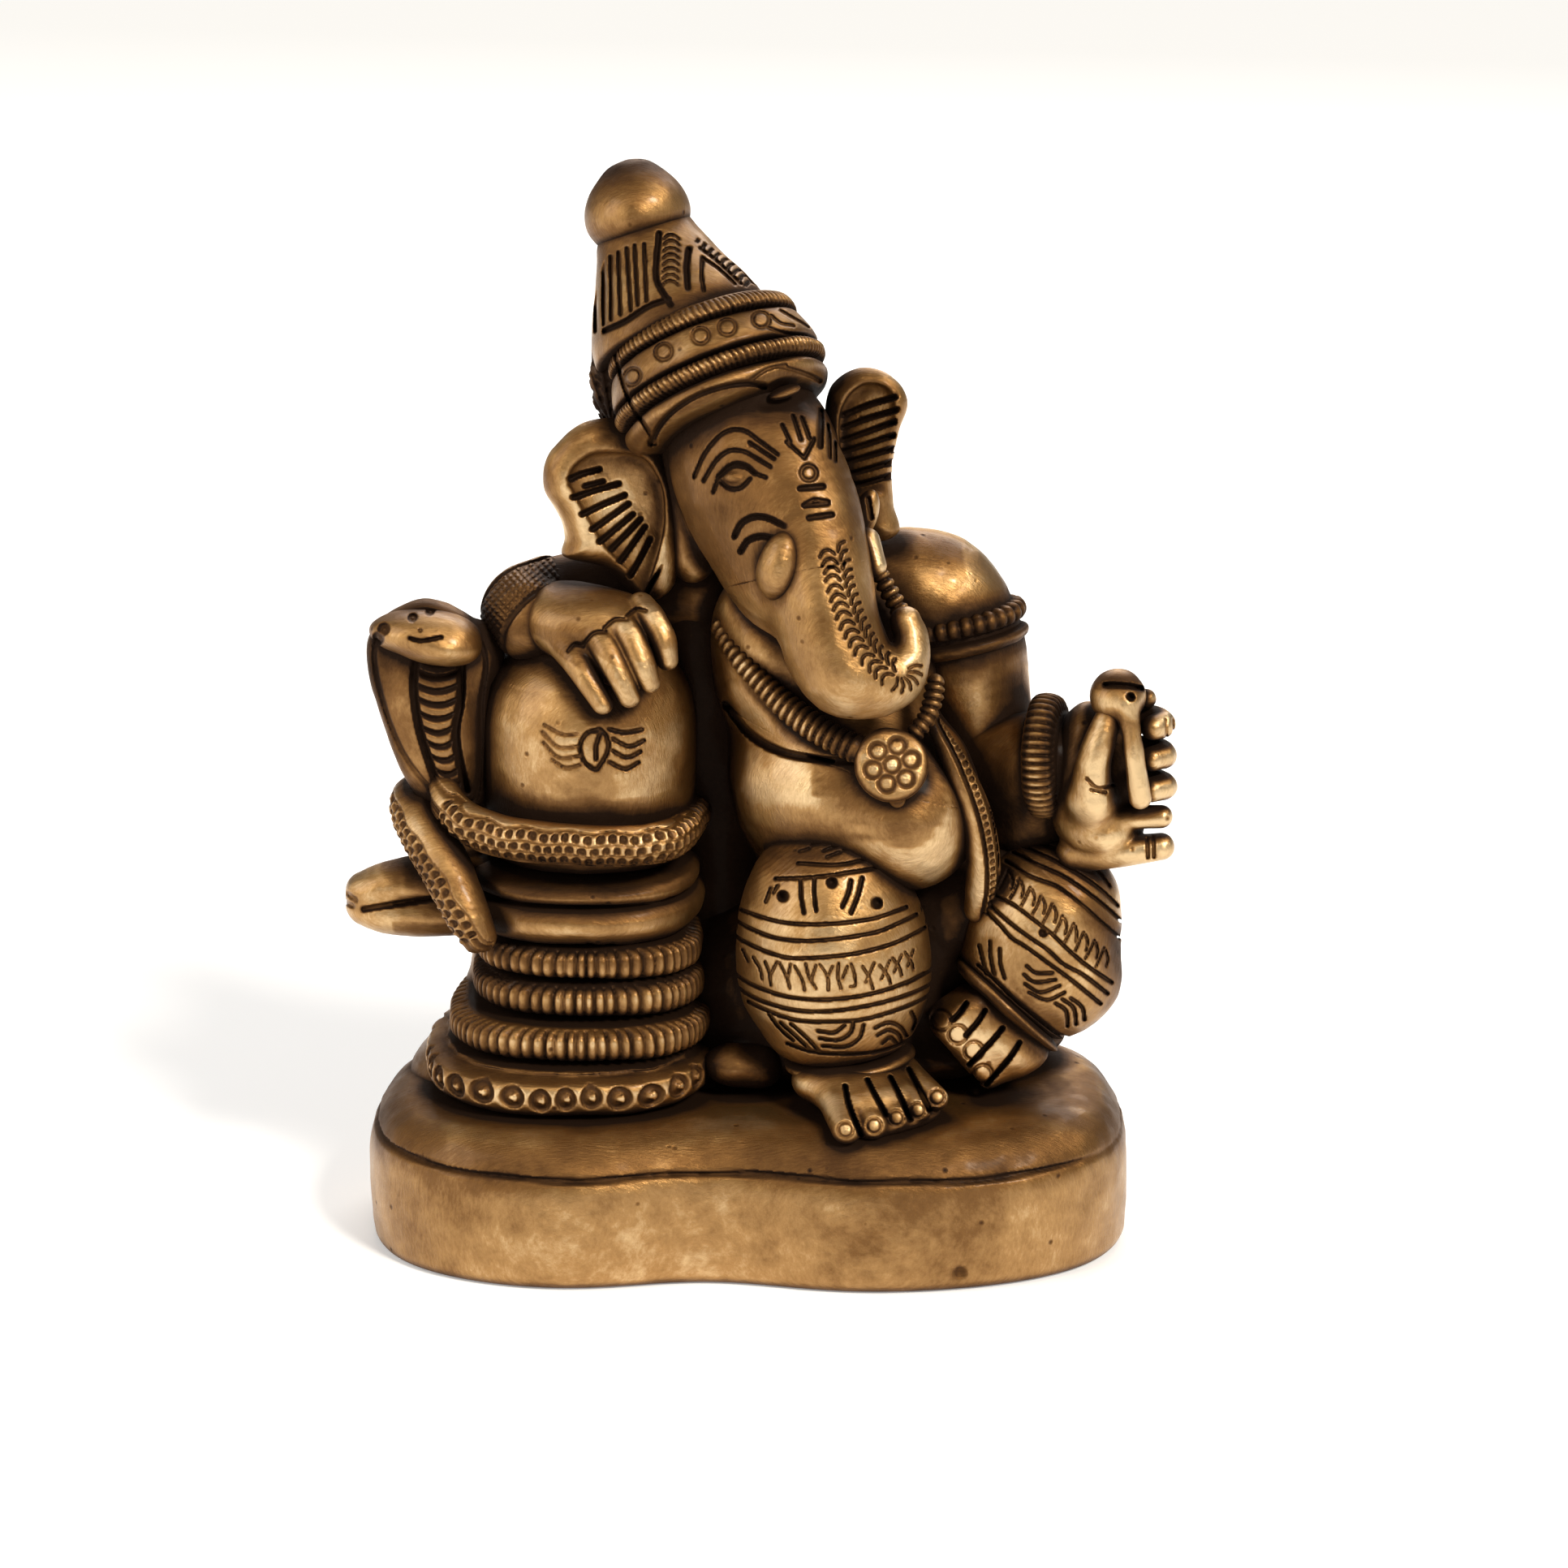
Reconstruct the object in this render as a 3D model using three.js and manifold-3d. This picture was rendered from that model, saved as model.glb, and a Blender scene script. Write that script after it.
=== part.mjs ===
// A cast brass Ganesha, seated on a two-lobed plinth and leaning on a shiva linga that a cobra winds round.
// Millimetres. +X is to the right as the idol faces you, -Y is its front and +Z is up.
// Every sculpted element is its own solid, and each one is cut clear of those listed before it.
import * as THREE from "three";
import { mergeVertices } from "three/addons/utils/BufferGeometryUtils.js";
import Module from "manifold-3d";

const wasm = await Module();
wasm.setup();

// ---- Driving dimensions ----
const GAP = 0.3; // clearance left between neighbouring solids
const PLINTH = { halfWidth: 45, halfDepth: 24.6, height: 17.2, grooveZ: 12.9, wall: 4, cavity: 12.5 };
const WAIST = { x: -5, depth: 0.15, spread: 13 }; // the pinch between the plinth's two lobes
const LINGA = { x: -18.9, y: 4, radius: 12.9 }; // the upright axis of the linga, and its widest radius
const CROWN = { x: -2, y: 1, z: 97.8, lean: 22.4, back: 26.3, radius: 12.3 }; // rim centre and lean, in degrees
const HEAD = { x: 0.9, y: 0.8, z: 92.4, lean: 17, back: 12 };

// ---- Finishes ----
const polished = { color: 0xb08a4a, roughness: 0.34, metalness: 1 };
const aged = { color: 0x8a6434, roughness: 0.5, metalness: 1 };

// ---- Solids ----
// A form is a function of how far to grow it, so that the same shape makes a piece and the space round it.

// Geometry as a manifold-3d solid, with shared corners merged.
function solidOf(geometry) {
  const loose = geometry.index ? geometry.toNonIndexed() : geometry;
  const bare = new THREE.BufferGeometry().setAttribute("position", loose.getAttribute("position"));
  const merged = mergeVertices(bare, 1e-4);
  return new wasm.Manifold(
    new wasm.Mesh({
      numProp: 3,
      vertProperties: merged.attributes.position.array,
      triVerts: new Uint32Array(merged.index.array),
    }),
  );
}

const radians = THREE.MathUtils.degToRad;

// Turns a geometry about X, then Y, then Z, in degrees, and puts it in place.
function placed(geometry, [x, y, z], [turnX, turnY, turnZ] = [0, 0, 0]) {
  geometry.rotateX(radians(turnX)).rotateY(radians(turnY)).rotateZ(radians(turnZ));
  return geometry.translate(x, y, z);
}

function ellipsoid(centre, radii, turn, around = 12, down = 7) {
  return (grow) => {
    const ball = new THREE.SphereGeometry(1, around, down).scale(...radii.map((r) => r + grow));
    return solidOf(placed(ball, centre, turn));
  };
}

// A closed skin over rings of points, each ring running the same way round, with a fan over each end.
function loft(rings) {
  const sides = rings[0].length;
  const middle = (ring) => ring.reduce((sum, p) => sum.add(p), new THREE.Vector3()).divideScalar(sides);
  const points = [...rings.flat(), middle(rings[0]), middle(rings.at(-1))];
  const foot = points.length - 2;
  const head = points.length - 1;
  const last = (rings.length - 1) * sides;
  const faces = [];
  for (let i = 0; i < sides; i++) {
    const next = (i + 1) % sides;
    faces.push(foot, next, i, head, last + i, last + next);
    for (let row = 0; row < last; row += sides) {
      faces.push(row + i, row + next, row + sides + next, row + i, row + sides + next, row + sides + i);
    }
  }
  const geometry = new THREE.BufferGeometry().setFromPoints(points).setIndex(faces);
  const solid = solidOf(geometry);
  if (solid.volume() > 0) return solid;
  for (let i = 0; i < faces.length; i += 3) [faces[i], faces[i + 1]] = [faces[i + 1], faces[i]];
  return solidOf(geometry.setIndex(faces));
}

// A round-ended limb through stations [x, y, z, radius]. Its section is depth times as thick along the keel axis.
function limb(stations, { depth = 1, keel = new THREE.Vector3(0, 1, 0), sides = 8, steps = 2 } = {}) {
  const line = new THREE.CatmullRomCurve3(stations.map((s) => new THREE.Vector3(s[0], s[1], s[2])));
  const spans = stations.length - 1;
  const radiusAt = (t) => {
    const span = Math.min(Math.floor(t * spans), spans - 1);
    return THREE.MathUtils.lerp(stations[span][3], stations[span + 1][3], t * spans - span);
  };
  return (grow) => {
    const rings = [];
    const addRing = (t, ahead, share) => {
      const tangent = line.getTangent(t);
      const across = tangent.clone().cross(keel).normalize();
      const outward = across.clone().cross(tangent).normalize();
      const radius = radiusAt(t) + grow;
      const centre = line.getPoint(t).addScaledVector(tangent, ahead * radius);
      rings.push(
        Array.from({ length: sides }, (_, i) => {
          const angle = (2 * Math.PI * i) / sides;
          return centre
            .clone()
            .addScaledVector(across, Math.cos(angle) * radius * share)
            .addScaledVector(outward, Math.sin(angle) * (radiusAt(t) * depth + grow) * share);
        }),
      );
    };
    const cap = radians(58);
    addRing(0, -Math.sin(cap), Math.cos(cap));
    for (let i = 0; i <= spans * steps; i++) addRing(i / (spans * steps), 0, 1);
    addRing(1, Math.sin(cap), Math.cos(cap));
    return loft(rings);
  };
}

// A turned form: profile points [radius, height] from the axis at the foot to the axis at the top.
// stretch scales its front half from front to back, and behind scales its back half.
function turned(profile, centre, { turn = [0, 0, 0], stretch = 1, behind = stretch, around = 20 } = {}) {
  const heights = profile.map((p) => p[1]);
  const foot = Math.min(...heights);
  const tall = Math.max(...heights) - foot;
  return (grow) => {
    const points = profile.map(
      ([r, h]) => new THREE.Vector2(r && r + grow, h + grow * ((2 * (h - foot)) / tall - 1)),
    );
    const lathe = new THREE.LatheGeometry(points, around).rotateX(Math.PI / 2);
    const corners = lathe.getAttribute("position");
    for (let i = 0; i < corners.count; i++) {
      const y = corners.getY(i);
      corners.setY(i, y * (y > 0 ? behind : stretch));
    }
    return solidOf(placed(lathe, centre, turn));
  };
}

// A plate standing up across the idol: its outline runs through points [x, z], smoothed into a curve.
function plate(outline, front, thickness, { turn = [0, 0, 0], round = 1.2, samples = 18 } = {}) {
  const centre = outline.reduce((sum, p) => [sum[0] + p[0], sum[1] + p[1]]).map((v) => v / outline.length);
  const loop = new THREE.CatmullRomCurve3(
    outline.map(([x, z]) => new THREE.Vector3(x - centre[0], z - centre[1], 0)),
    true,
  );
  return (grow) => {
    const shape = new THREE.Shape(loop.getPoints(samples).slice(1).map((p) => new THREE.Vector2(p.x, p.y)));
    const bevel = { bevelSize: round, bevelThickness: round, bevelSegments: 1, bevelOffset: grow - round };
    const depth = thickness - 2 * round + 2 * grow;
    const slab = new THREE.ExtrudeGeometry(shape, { depth, steps: 1, ...bevel });
    slab.translate(0, 0, -thickness / 2 + round - grow).rotateX(Math.PI / 2);
    return solidOf(placed(slab, [centre[0], front + thickness / 2, centre[1]], turn));
  };
}

const joined = (...forms) => (grow) => forms.map((form) => form(grow)).reduce((a, b) => a.add(b));
const without = (form, tool) => (grow) => form(grow).subtract(tool(0));

// ---- Plinth ----
// The plan of the plinth at an inset from its widest outline: a squarish oval pinched at its waist.
function plinthRing(inset, z, sides = 32) {
  return Array.from({ length: sides }, (_, i) => {
    const angle = (2 * Math.PI * i) / sides;
    const square = (v) => Math.sign(v) * Math.abs(v) ** 0.72;
    const x = (PLINTH.halfWidth - inset) * square(Math.cos(angle));
    const pinch = 1 - WAIST.depth * Math.exp(-(((x - WAIST.x) / WAIST.spread) ** 2));
    return new THREE.Vector3(x, (PLINTH.halfDepth * pinch - inset) * square(Math.sin(angle)), z);
  });
}

const plinthBlock = (grow) =>
  loft(
    [
      [0.8, 0],
      [0.1, 1.2],
      [0, 7],
      [0.3, PLINTH.grooveZ - 0.6],
      [1, PLINTH.grooveZ],
      [0.5, PLINTH.grooveZ + 0.6],
      [2.2, PLINTH.height - 0.9],
      [5, PLINTH.height],
    ].map(([inset, z]) => plinthRing(inset - grow, z + (z > 7 ? grow : -grow))),
  );
// The underside is cored out, as a casting of this size is.
const plinthCore = () => loft([plinthRing(PLINTH.wall, -5), plinthRing(PLINTH.wall + 1, PLINTH.cavity)]);

// ---- Linga, its pedestal and its cobra ----
const lingaAt = (z) => [LINGA.x, LINGA.y, z];
// A rounded ring of the pedestal, as a disc with a bulging edge, from its foot and centre up.
const pedestalRing = ([x, y, z], height, radius, behind = 1.12, stretch = 0.74) =>
  turned(
    [
      [0, 0],
      [radius - 1, 0],
      [radius, height * 0.3],
      [radius, height * 0.7],
      [radius - 1, height],
      [0, height],
    ],
    [x, y, z],
    { stretch, behind, around: 24 },
  );

const cobraKeel = { keel: new THREE.Vector3(0, 0, 1), depth: 1.35, steps: 1 };

// ---- Crown ----
// A turned ring of the crown, from one height on its leaning axis to another.
const crownForm = (profile, around = 20) =>
  turned(profile, [CROWN.x, CROWN.y, CROWN.z], { turn: [-CROWN.back, -CROWN.lean, 0], stretch: 0.95, around });
const crownBand = (from, to, lower, upper) =>
  crownForm([
    [0, from],
    [lower - 0.4, from],
    [(lower + upper) / 2 + 0.3, (from + to) / 2],
    [upper - 0.4, to],
    [0, to],
  ]);

// ---- Hands ----
const finger = (stations) => limb(stations, { sides: 6, steps: 1 });

// ---- The idol, in the order in which the pieces keep their full shape ----
const pieces = {
  base_plinth: [polished, without(plinthBlock, plinthCore)],
  pedestal_mound: [
    polished,
    turned(
      [
        [0, 17.5],
        [20.6, 17.5],
        [18.8, 19.6],
        [16.8, 22],
        [14.6, 25.5],
        [13.2, 29.5],
        [12.2, 36.4],
        [0, 36.4],
      ],
      [LINGA.x - 1.2, LINGA.y + 2.2, 0],
      { stretch: 0.72, around: 22 },
    ),
  ],
  bead_ring: [polished, pedestalRing([-21.4, 1, 17.6], 5.6, 17.4, 0.96, 0.9)],
  reeded_ring_lower: [aged, pedestalRing([-20.3, -0.4, 23.6], 4.2, 15.5)],
  reeded_ring_middle: [aged, pedestalRing([-19.4, 0.5, 28.2], 4.2, 13.8)],
  reeded_ring_upper: [aged, pedestalRing([-19.2, 0.9, 32.8], 3.9, 13.4)],
  yoni_plate: [
    polished,
    turned(
      [
        [0, 37.1],
        [13.6, 37.1],
        [15.3, 38.8],
        [15.3, 40.4],
        [13.8, 41.7],
        [14.7, 42.6],
        [14.2, 43.8],
        [0, 44.2],
      ],
      lingaAt(0),
      { stretch: 0.86, behind: 0.96, around: 22 },
    ),
  ],
  linga_dome: [
    polished,
    turned(
      [
        [0, 44.5],
        [LINGA.radius - 2.2, 44.5],
        [LINGA.radius - 0.5, 47.4],
        [LINGA.radius, 55],
        [LINGA.radius - 0.3, 61.8],
        [LINGA.radius - 1.7, 66.4],
        [LINGA.radius - 4.4, 69.8],
        [0, 72.8],
      ],
      lingaAt(0),
      { stretch: 0.95, around: 22 },
    ),
  ],
  yoni_spout: [
    polished,
    limb(
      [
        [-33, 1.2, 40.2, 4.2],
        [-39.5, 1, 40.3, 4.5],
        [-44.6, 0.8, 39.9, 3.4],
      ],
      { depth: 1.1 },
    ),
  ],
  head: [
    polished,
    joined(
      ellipsoid([HEAD.x, HEAD.y, HEAD.z], [9.9, 11, 12.4], [-HEAD.back, -HEAD.lean, 0], 16, 9),
      ellipsoid([3.9, -2.6, 84.4], [8, 9, 10], [0, -HEAD.lean, 0]),
    ),
  ],
  trunk: [
    polished,
    limb(
      [
        [5.8, -6.4, 93.5, 4.8],
        [6.8, -7.2, 89.7, 5.8],
        [8.2, -9.2, 83.3, 5.9],
        [9.1, -11.2, 77, 6.1],
        [10.9, -12.4, 72.4, 5.8],
        [13.6, -12.8, 70.7, 4.9],
        [16.4, -12.6, 70.8, 3.8],
        [18.2, -12, 72.6, 2.7],
        [18.2, -11.2, 75.6, 2.1],
      ],
      { sides: 12, steps: 1 },
    ),
  ],
  belly: [
    polished,
    joined(
      ellipsoid([12.2, 1.2, 53.8], [13.8, 12.2, 12.4], [0, 6, 0], 16, 9),
      ellipsoid([18.2, -2.8, 52], [9.2, 10.2, 9.8]),
    ),
  ],
  torso: [
    polished,
    joined(
      ellipsoid([9.2, 4.6, 67], [13.4, 10.6, 13.5], [0, -8, 0], 14, 7),
      ellipsoid([10, 8, 54], [13.5, 9.5, 16]),
      ellipsoid([3.4, 1.8, 70.6], [6.6, 6.4, 9], [0, -28, 0]),
    ),
  ],
  hips: [aged, ellipsoid([12, 7.5, 28], [23.5, 12.5, 13], undefined, 14, 8)],
  leg_right: [
    polished,
    turned(
      [
        [0, 0.6],
        [6.8, 0.6],
        [9.4, 4],
        [11.2, 9],
        [11.3, 14.5],
        [10, 20.4],
        [7.2, 25.4],
        [0, 28.6],
      ],
      [11.2, -6.4, 22.2],
      { turn: [0, -6, 0], stretch: 0.93, around: 18 },
    ),
  ],
  leg_left: [
    polished,
    joined(
      turned(
        [
          [0, 0.3],
          [7.7, 0.3],
          [9.4, 4],
          [9.9, 7.6],
          [9, 10.8],
          [6.4, 13.2],
          [0, 15],
        ],
        [30.2, -4.6, 28.4],
        { turn: [-12, 43, 0], stretch: 0.84, around: 18 },
      ),
      ellipsoid([35.4, -3.4, 39.6], [8.4, 7.6, 8.4]),
    ),
  ],
  hem_right: [
    aged,
    turned(
      [
        [0, -1.8],
        [7, -1.8],
        [7.9, -0.4],
        [7.6, 0.9],
        [0, 0.9],
      ],
      [11.6, -6.6, 21.7],
      { turn: [0, -6, 0], stretch: 0.94, around: 18 },
    ),
  ],
  hem_left: [
    aged,
    turned(
      [
        [0, -1.8],
        [7.2, -1.8],
        [8.1, -0.8],
        [7.8, 0],
        [0, 0],
      ],
      [30.2, -4.6, 28.3],
      { turn: [-12, 43, 0], stretch: 0.86, around: 18 },
    ),
  ],
  foot_right: [
    polished,
    joined(
      ellipsoid([11.8, -9.4, 20.6], [6.8, 5.8, 3.3]),
      ellipsoid([14.2, -13, 19.7], [6.3, 5.2, 2.5], [0, 0, 24]),
      ...[
        [11.4, -19.8, 18.9],
        [14.6, -18.9, 19],
        [17.3, -17.5, 19.1],
        [19.8, -16, 19.3],
        [21.9, -14.2, 19.9],
      ].map((tip, i) =>
        finger([
          [9.8 + 2.1 * i, -12.8 + 1.1 * i, 20.4 + 0.2 * i, 1.9],
          [...tip, 1.7 - 0.06 * i],
        ]),
      ),
    ),
  ],
  foot_left: [
    polished,
    joined(
      plate(
        [
          [21.5, 27.6],
          [26.4, 30.8],
          [31.1, 27],
          [34.3, 23.3],
          [27.8, 19],
          [23.7, 23.5],
        ],
        -9.8,
        6.4,
        { turn: [0, 0, 14], round: 1.4, samples: 14 },
      ),
      ellipsoid([31, -5.4, 24.4], [4.6, 4.6, 4]),
    ),
  ],
  upper_arm_left: [
    polished,
    limb(
      [
        [22.2, 7.6, 75.4, 7.4],
        [25.6, 6.8, 69, 7],
        [27, 6, 61.5, 6.4],
        [28.6, 4.6, 54, 6],
      ],
      { sides: 10 },
    ),
  ],
  forearm_left: [
    aged,
    joined(
      limb([
        [28.4, 3.6, 55, 6],
        [34, -1.2, 57, 6],
      ]),
      ellipsoid([33, 0, 50.2], [4.6, 4.4, 5.4]),
    ),
  ],
  upper_arm_right: [
    polished,
    limb(
      [
        [-7, 9.6, 75.6, 6],
        [-14, 9.8, 75.4, 5.4],
        [-21.6, 8.4, 74.2, 5.1],
        [-25.2, 5.2, 73.6, 4.8],
      ],
      { keel: new THREE.Vector3(0, 0, 1) },
    ),
  ],
  hand_right: [
    polished,
    joined(
      ellipsoid([-19.8, 0.2, 73.4], [6.6, 6.6, 4.6], [0, 20, -10]),
      ellipsoid([-15.4, -2.2, 73.8], [6.4, 5.4, 3.8], [0, 10, 0]),
      ...[
        [-21, -4.4, 72, -17, -9.2, 66.4],
        [-18, -5, 74, -14, -9.6, 67.4],
        [-15, -5, 75, -11.6, -9, 69],
        [-12.4, -3.6, 76, -9.4, -7, 71.2],
      ].map(([x, y, z, tipX, tipY, tipZ]) =>
        finger([
          [x, y, z, 1.9],
          [(x + tipX) / 2, (y + tipY) / 2 - 1, (z + tipZ) / 2 + 0.6, 1.8],
          [tipX, tipY, tipZ, 1.5],
        ]),
      ),
    ),
  ],
  hand_left: [
    polished,
    joined(
      ellipsoid([40.4, -4.4, 56.2], [5.4, 4.6, 8.6]),
      ellipsoid([41.2, -6, 50.6], [4.8, 4.2, 3.6]),
      finger([
        [39.6, -9, 54.6, 2.8],
        [39.7, -10, 59.4, 2.2],
        [41.4, -9.6, 64.6, 1.8],
      ]),
      ...[0, 1, 2].map((i) =>
        finger([
          [43.6, -5, 63.4 - 3.72 * i, 1.8],
          [46.4, -6.2, 63.6 - 3.72 * i, 1.8],
          [47.2, -8.6, 63.6 - 3.72 * i, 1.6],
        ]),
      ),
      ...[0, 1].map((i) =>
        finger([
          [40.6 - 2 * i, -7.4 + i, 51.6 - 4 * i, 2],
          [47, -8.6, 52.6 - 3.7 * i, 1.5],
        ]),
      ),
    ),
  ],
  held_sweet: [
    polished,
    joined(
      limb(
        [
          [45.2, -11, 56, 1.4],
          [43.6, -10.8, 66, 1.6],
        ],
        { steps: 1 },
      ),
      ellipsoid([42.5, -8.5, 67.2], [3.4, 3.4, 3], undefined, 12, 7),
    ),
  ],
  bracelet_left: [
    aged,
    turned(
      [
        [0, -1.7],
        [6.6, -1.7],
        [7.4, 0],
        [6.6, 1.7],
        [0, 1.7],
      ],
      [34.8, -2.8, 58],
      { turn: [0, 90, -15], around: 20 },
    ),
  ],
  armband_left: [
    aged,
    turned(
      [
        [0, -2.4],
        [7.6, -2.4],
        [8.2, 0],
        [7.6, 2.4],
        [0, 2.4],
      ],
      [25.3, 6.3, 70.6],
      { turn: [0, -15, 0], around: 20 },
    ),
  ],
  bangle_right: [
    aged,
    turned(
      [
        [0, -2.4],
        [5.4, -2.4],
        [5.9, 0],
        [5.4, 2.4],
        [0, 2.4],
      ],
      [-25.4, 4.4, 73.8],
      { turn: [90, 0, 14], around: 18 },
    ),
  ],
  ear_right: [
    polished,
    plate(
      [
        [-9.4, 93.1],
        [-12.8, 97],
        [-18.3, 97.1],
        [-22.5, 94.2],
        [-23.8, 90.2],
        [-22.2, 86.4],
        [-21.5, 81],
        [-16.9, 79.4],
        [-12.2, 75.6],
        [-8.5, 77.4],
        [-7.6, 85.3],
      ],
      0,
      4.8,
      { turn: [0, 0, 10] },
    ),
  ],
  ear_left: [
    polished,
    plate(
      [
        [9.4, 101],
        [12.8, 103.2],
        [16.6, 102.4],
        [18.6, 99.4],
        [17.2, 93.4],
        [17.2, 87.2],
        [17.9, 83.8],
        [13.4, 83],
        [9.4, 90],
        [8.6, 96],
      ],
      0.7,
      4.6,
      { turn: [0, 0, -10] },
    ),
  ],
  earring_left: [aged, ellipsoid([13.4, -2, 86], [1.7, 1.6, 3.4], [0, -12, 0], 10, 6)],
  tusk_right: [
    polished,
    limb([
      [4.5, -12.4, 86.2, 1.4],
      [4.1, -12.8, 84.4, 2.3],
      [3.6, -12.7, 82.2, 2.6],
      [3.4, -12, 80.6, 1.7],
    ]),
  ],
  tusk_left: [
    polished,
    limb([
      [13.6, -8.6, 85.2, 1.6],
      [14.4, -10.2, 83.4, 1.3],
    ]),
  ],
  crown_rim: [polished, crownBand(-0.8, 2.1, CROWN.radius - 0.5, CROWN.radius - 0.3)],
  crown_rope_lower: [aged, crownBand(2.4, 4.3, CROWN.radius + 0.5, CROWN.radius + 0.3)],
  crown_bead_band: [polished, crownBand(4.6, 8.3, CROWN.radius, CROWN.radius - 0.9)],
  crown_rope_upper: [aged, crownBand(8.6, 11, CROWN.radius - 1, CROWN.radius - 1.8)],
  crown_cone: [
    aged,
    turned(
      [
        [0, 11.4],
        [10.4, 11.4],
        [9.7, 14],
        [8, 18],
        [6.3, 22],
        [5, 24.4],
        [0, 24.4],
      ],
      [CROWN.x - 1.9, CROWN.y + 0.2, CROWN.z - 0.8],
      { turn: [-CROWN.back, -CROWN.lean, 0], stretch: 0.96, around: 20 },
    ),
  ],
  crown_knob: [
    polished,
    turned(
      [
        [0, 0.2],
        [4, 0.2],
        [5.8, 1.8],
        [6.1, 3.8],
        [5.4, 6.4],
        [3, 9],
        [0, 10.3],
      ],
      [-12.2, 11, 115.8],
      { turn: [-13, -10, 0], around: 20 },
    ),
  ],
  crown_jewel: [polished, ellipsoid([4.8, -10.6, 103.3], [2.8, 1.6, 1.7], [0, -18, 0], 10, 6)],
  crown_back_tassel: [
    aged,
    limb([
      [-15.2, 8.8, 105.6, 2.8],
      [-15.6, 8.4, 102.4, 3.3],
      [-14.8, 7.4, 97.4, 2.9],
    ]),
  ],
  necklace: [
    aged,
    limb(
      [
        [-3.4, -0.6, 74.6, 1.5],
        [-0.4, -4.2, 70.4, 1.8],
        [4.4, -6.8, 65.8, 2],
        [11.2, -9.6, 61.4, 2.1],
        [17.4, -9.6, 61.8, 1.9],
        [21.8, -7, 65.6, 1.5],
      ],
      { steps: 1 },
    ),
  ],
  pendant: [
    polished,
    turned(
      [
        [0, -1.2],
        [3.4, -1.2],
        [4, 0],
        [3.4, 1.2],
        [0, 1.2],
      ],
      [16.6, -12.6, 59.2],
      { turn: [80, 0, 6], around: 18 },
    ),
  ],
  sacred_thread: [
    aged,
    limb(
      [
        [22.4, -8.6, 62, 1.2],
        [25.2, -8.8, 56, 1.7],
        [27.2, -8.2, 48.6, 2],
        [27.2, -6.6, 42, 1.7],
      ],
      { steps: 1 },
    ),
  ],
  cobra_coil: [
    aged,
    limb(
      [
        [-36.2, -0.6, 56.6, 2.2],
        [-34.4, -4.8, 52.4, 2.4],
        [-28, -8.8, 49.4, 2.5],
        [-19, -9.8, 48.6, 2.5],
        [-10.4, -8.6, 48.9, 2.4],
        [-5.2, -4, 49.4, 2.3],
        [-4.2, 6, 49.6, 2.3],
        [-9.6, 15, 49.6, 2.3],
        [-20, 18, 49.6, 2.3],
        [-30, 15.6, 49.6, 2.3],
      ],
      cobraKeel,
    ),
  ],
  cobra_tail: [
    aged,
    limb(
      [
        [-36.6, 9.6, 50, 2.3],
        [-38.9, 4.6, 51.2, 2.6],
        [-39.3, 0.4, 50.9, 2.8],
        [-37.2, -3.8, 48.4, 2.9],
        [-34.7, -7.2, 44.8, 2.7],
        [-31.8, -9.6, 39.2, 2.1],
      ],
      { ...cobraKeel, depth: 1.15 },
    ),
  ],
  cobra_hood: [
    aged,
    plate(
      [
        [-36.8, 76],
        [-41.2, 75],
        [-44, 72],
        [-44.2, 68],
        [-41.6, 58.8],
        [-38, 53.4],
        [-31.4, 52],
        [-30.2, 62],
        [-29.6, 69.4],
        [-31.4, 73.4],
      ],
      -1.9,
      4.6,
      { turn: [0, 0, 4], round: 1.4 },
    ),
  ],
  cobra_head: [polished, ellipsoid([-37.4, -2, 72.6], [6.6, 5.2, 3.2], [-10, 4, 0])],
  joining_web: [
    aged,
    limb(
      [
        [-2.2, 8.7, 23, 6.2],
        [-3.4, 9.4, 48, 6],
        [-5, 10.4, 71, 5.8],
      ],
      { steps: 1, depth: 0.95 },
    ),
  ],
  offering: [polished, ellipsoid([-0.7, -5.3, 20.6], [4.6, 3.2, 2.9], undefined, 10, 6)],
};

// ---- Assembly ----
const overlaps = (a, b) => [0, 1, 2].every((axis) => a.min[axis] < b.max[axis] && b.min[axis] < a.max[axis]);
const largest = (solid) => solid.decompose().reduce((a, b) => (a.volume() > b.volume() ? a : b));

// The mesh of a solid, with the piece's own finish.
function meshOf(name, finish, solid) {
  const { numProp, vertProperties, triVerts } = solid.getMesh();
  const corners = new THREE.InterleavedBuffer(new Float32Array(vertProperties), numProp);
  const geometry = new THREE.BufferGeometry()
    .setAttribute("position", new THREE.InterleavedBufferAttribute(corners, 3, 0))
    .setIndex(new THREE.BufferAttribute(triVerts, 1));
  const mesh = new THREE.Mesh(geometry, new THREE.MeshStandardMaterial(finish));
  mesh.name = name;
  return mesh;
}

const idol = new THREE.Group();
const spaces = []; // each finished piece, grown by the gap, that later pieces keep out of
for (const [name, [finish, form]] of Object.entries(pieces)) {
  let solid = form(0);
  for (const space of spaces) {
    if (overlaps(solid.boundingBox(), space.boundingBox())) solid = solid.subtract(space);
  }
  spaces.push(form(GAP));
  idol.add(meshOf(name, finish, largest(solid)));
}

// The origin is the middle of the idol's footprint, on the surface that it stands on.
const bounds = new THREE.Box3().setFromObject(idol);
const middle = bounds.getCenter(new THREE.Vector3());
idol.position.set(-middle.x, -middle.y, -bounds.min.z);

const part = new THREE.Group();
part.add(idol);
export default part;
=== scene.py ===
import math
from concurrent.futures import ThreadPoolExecutor

import bpy
import numpy as np
import openvdb
from mathutils import Matrix, Vector


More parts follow.
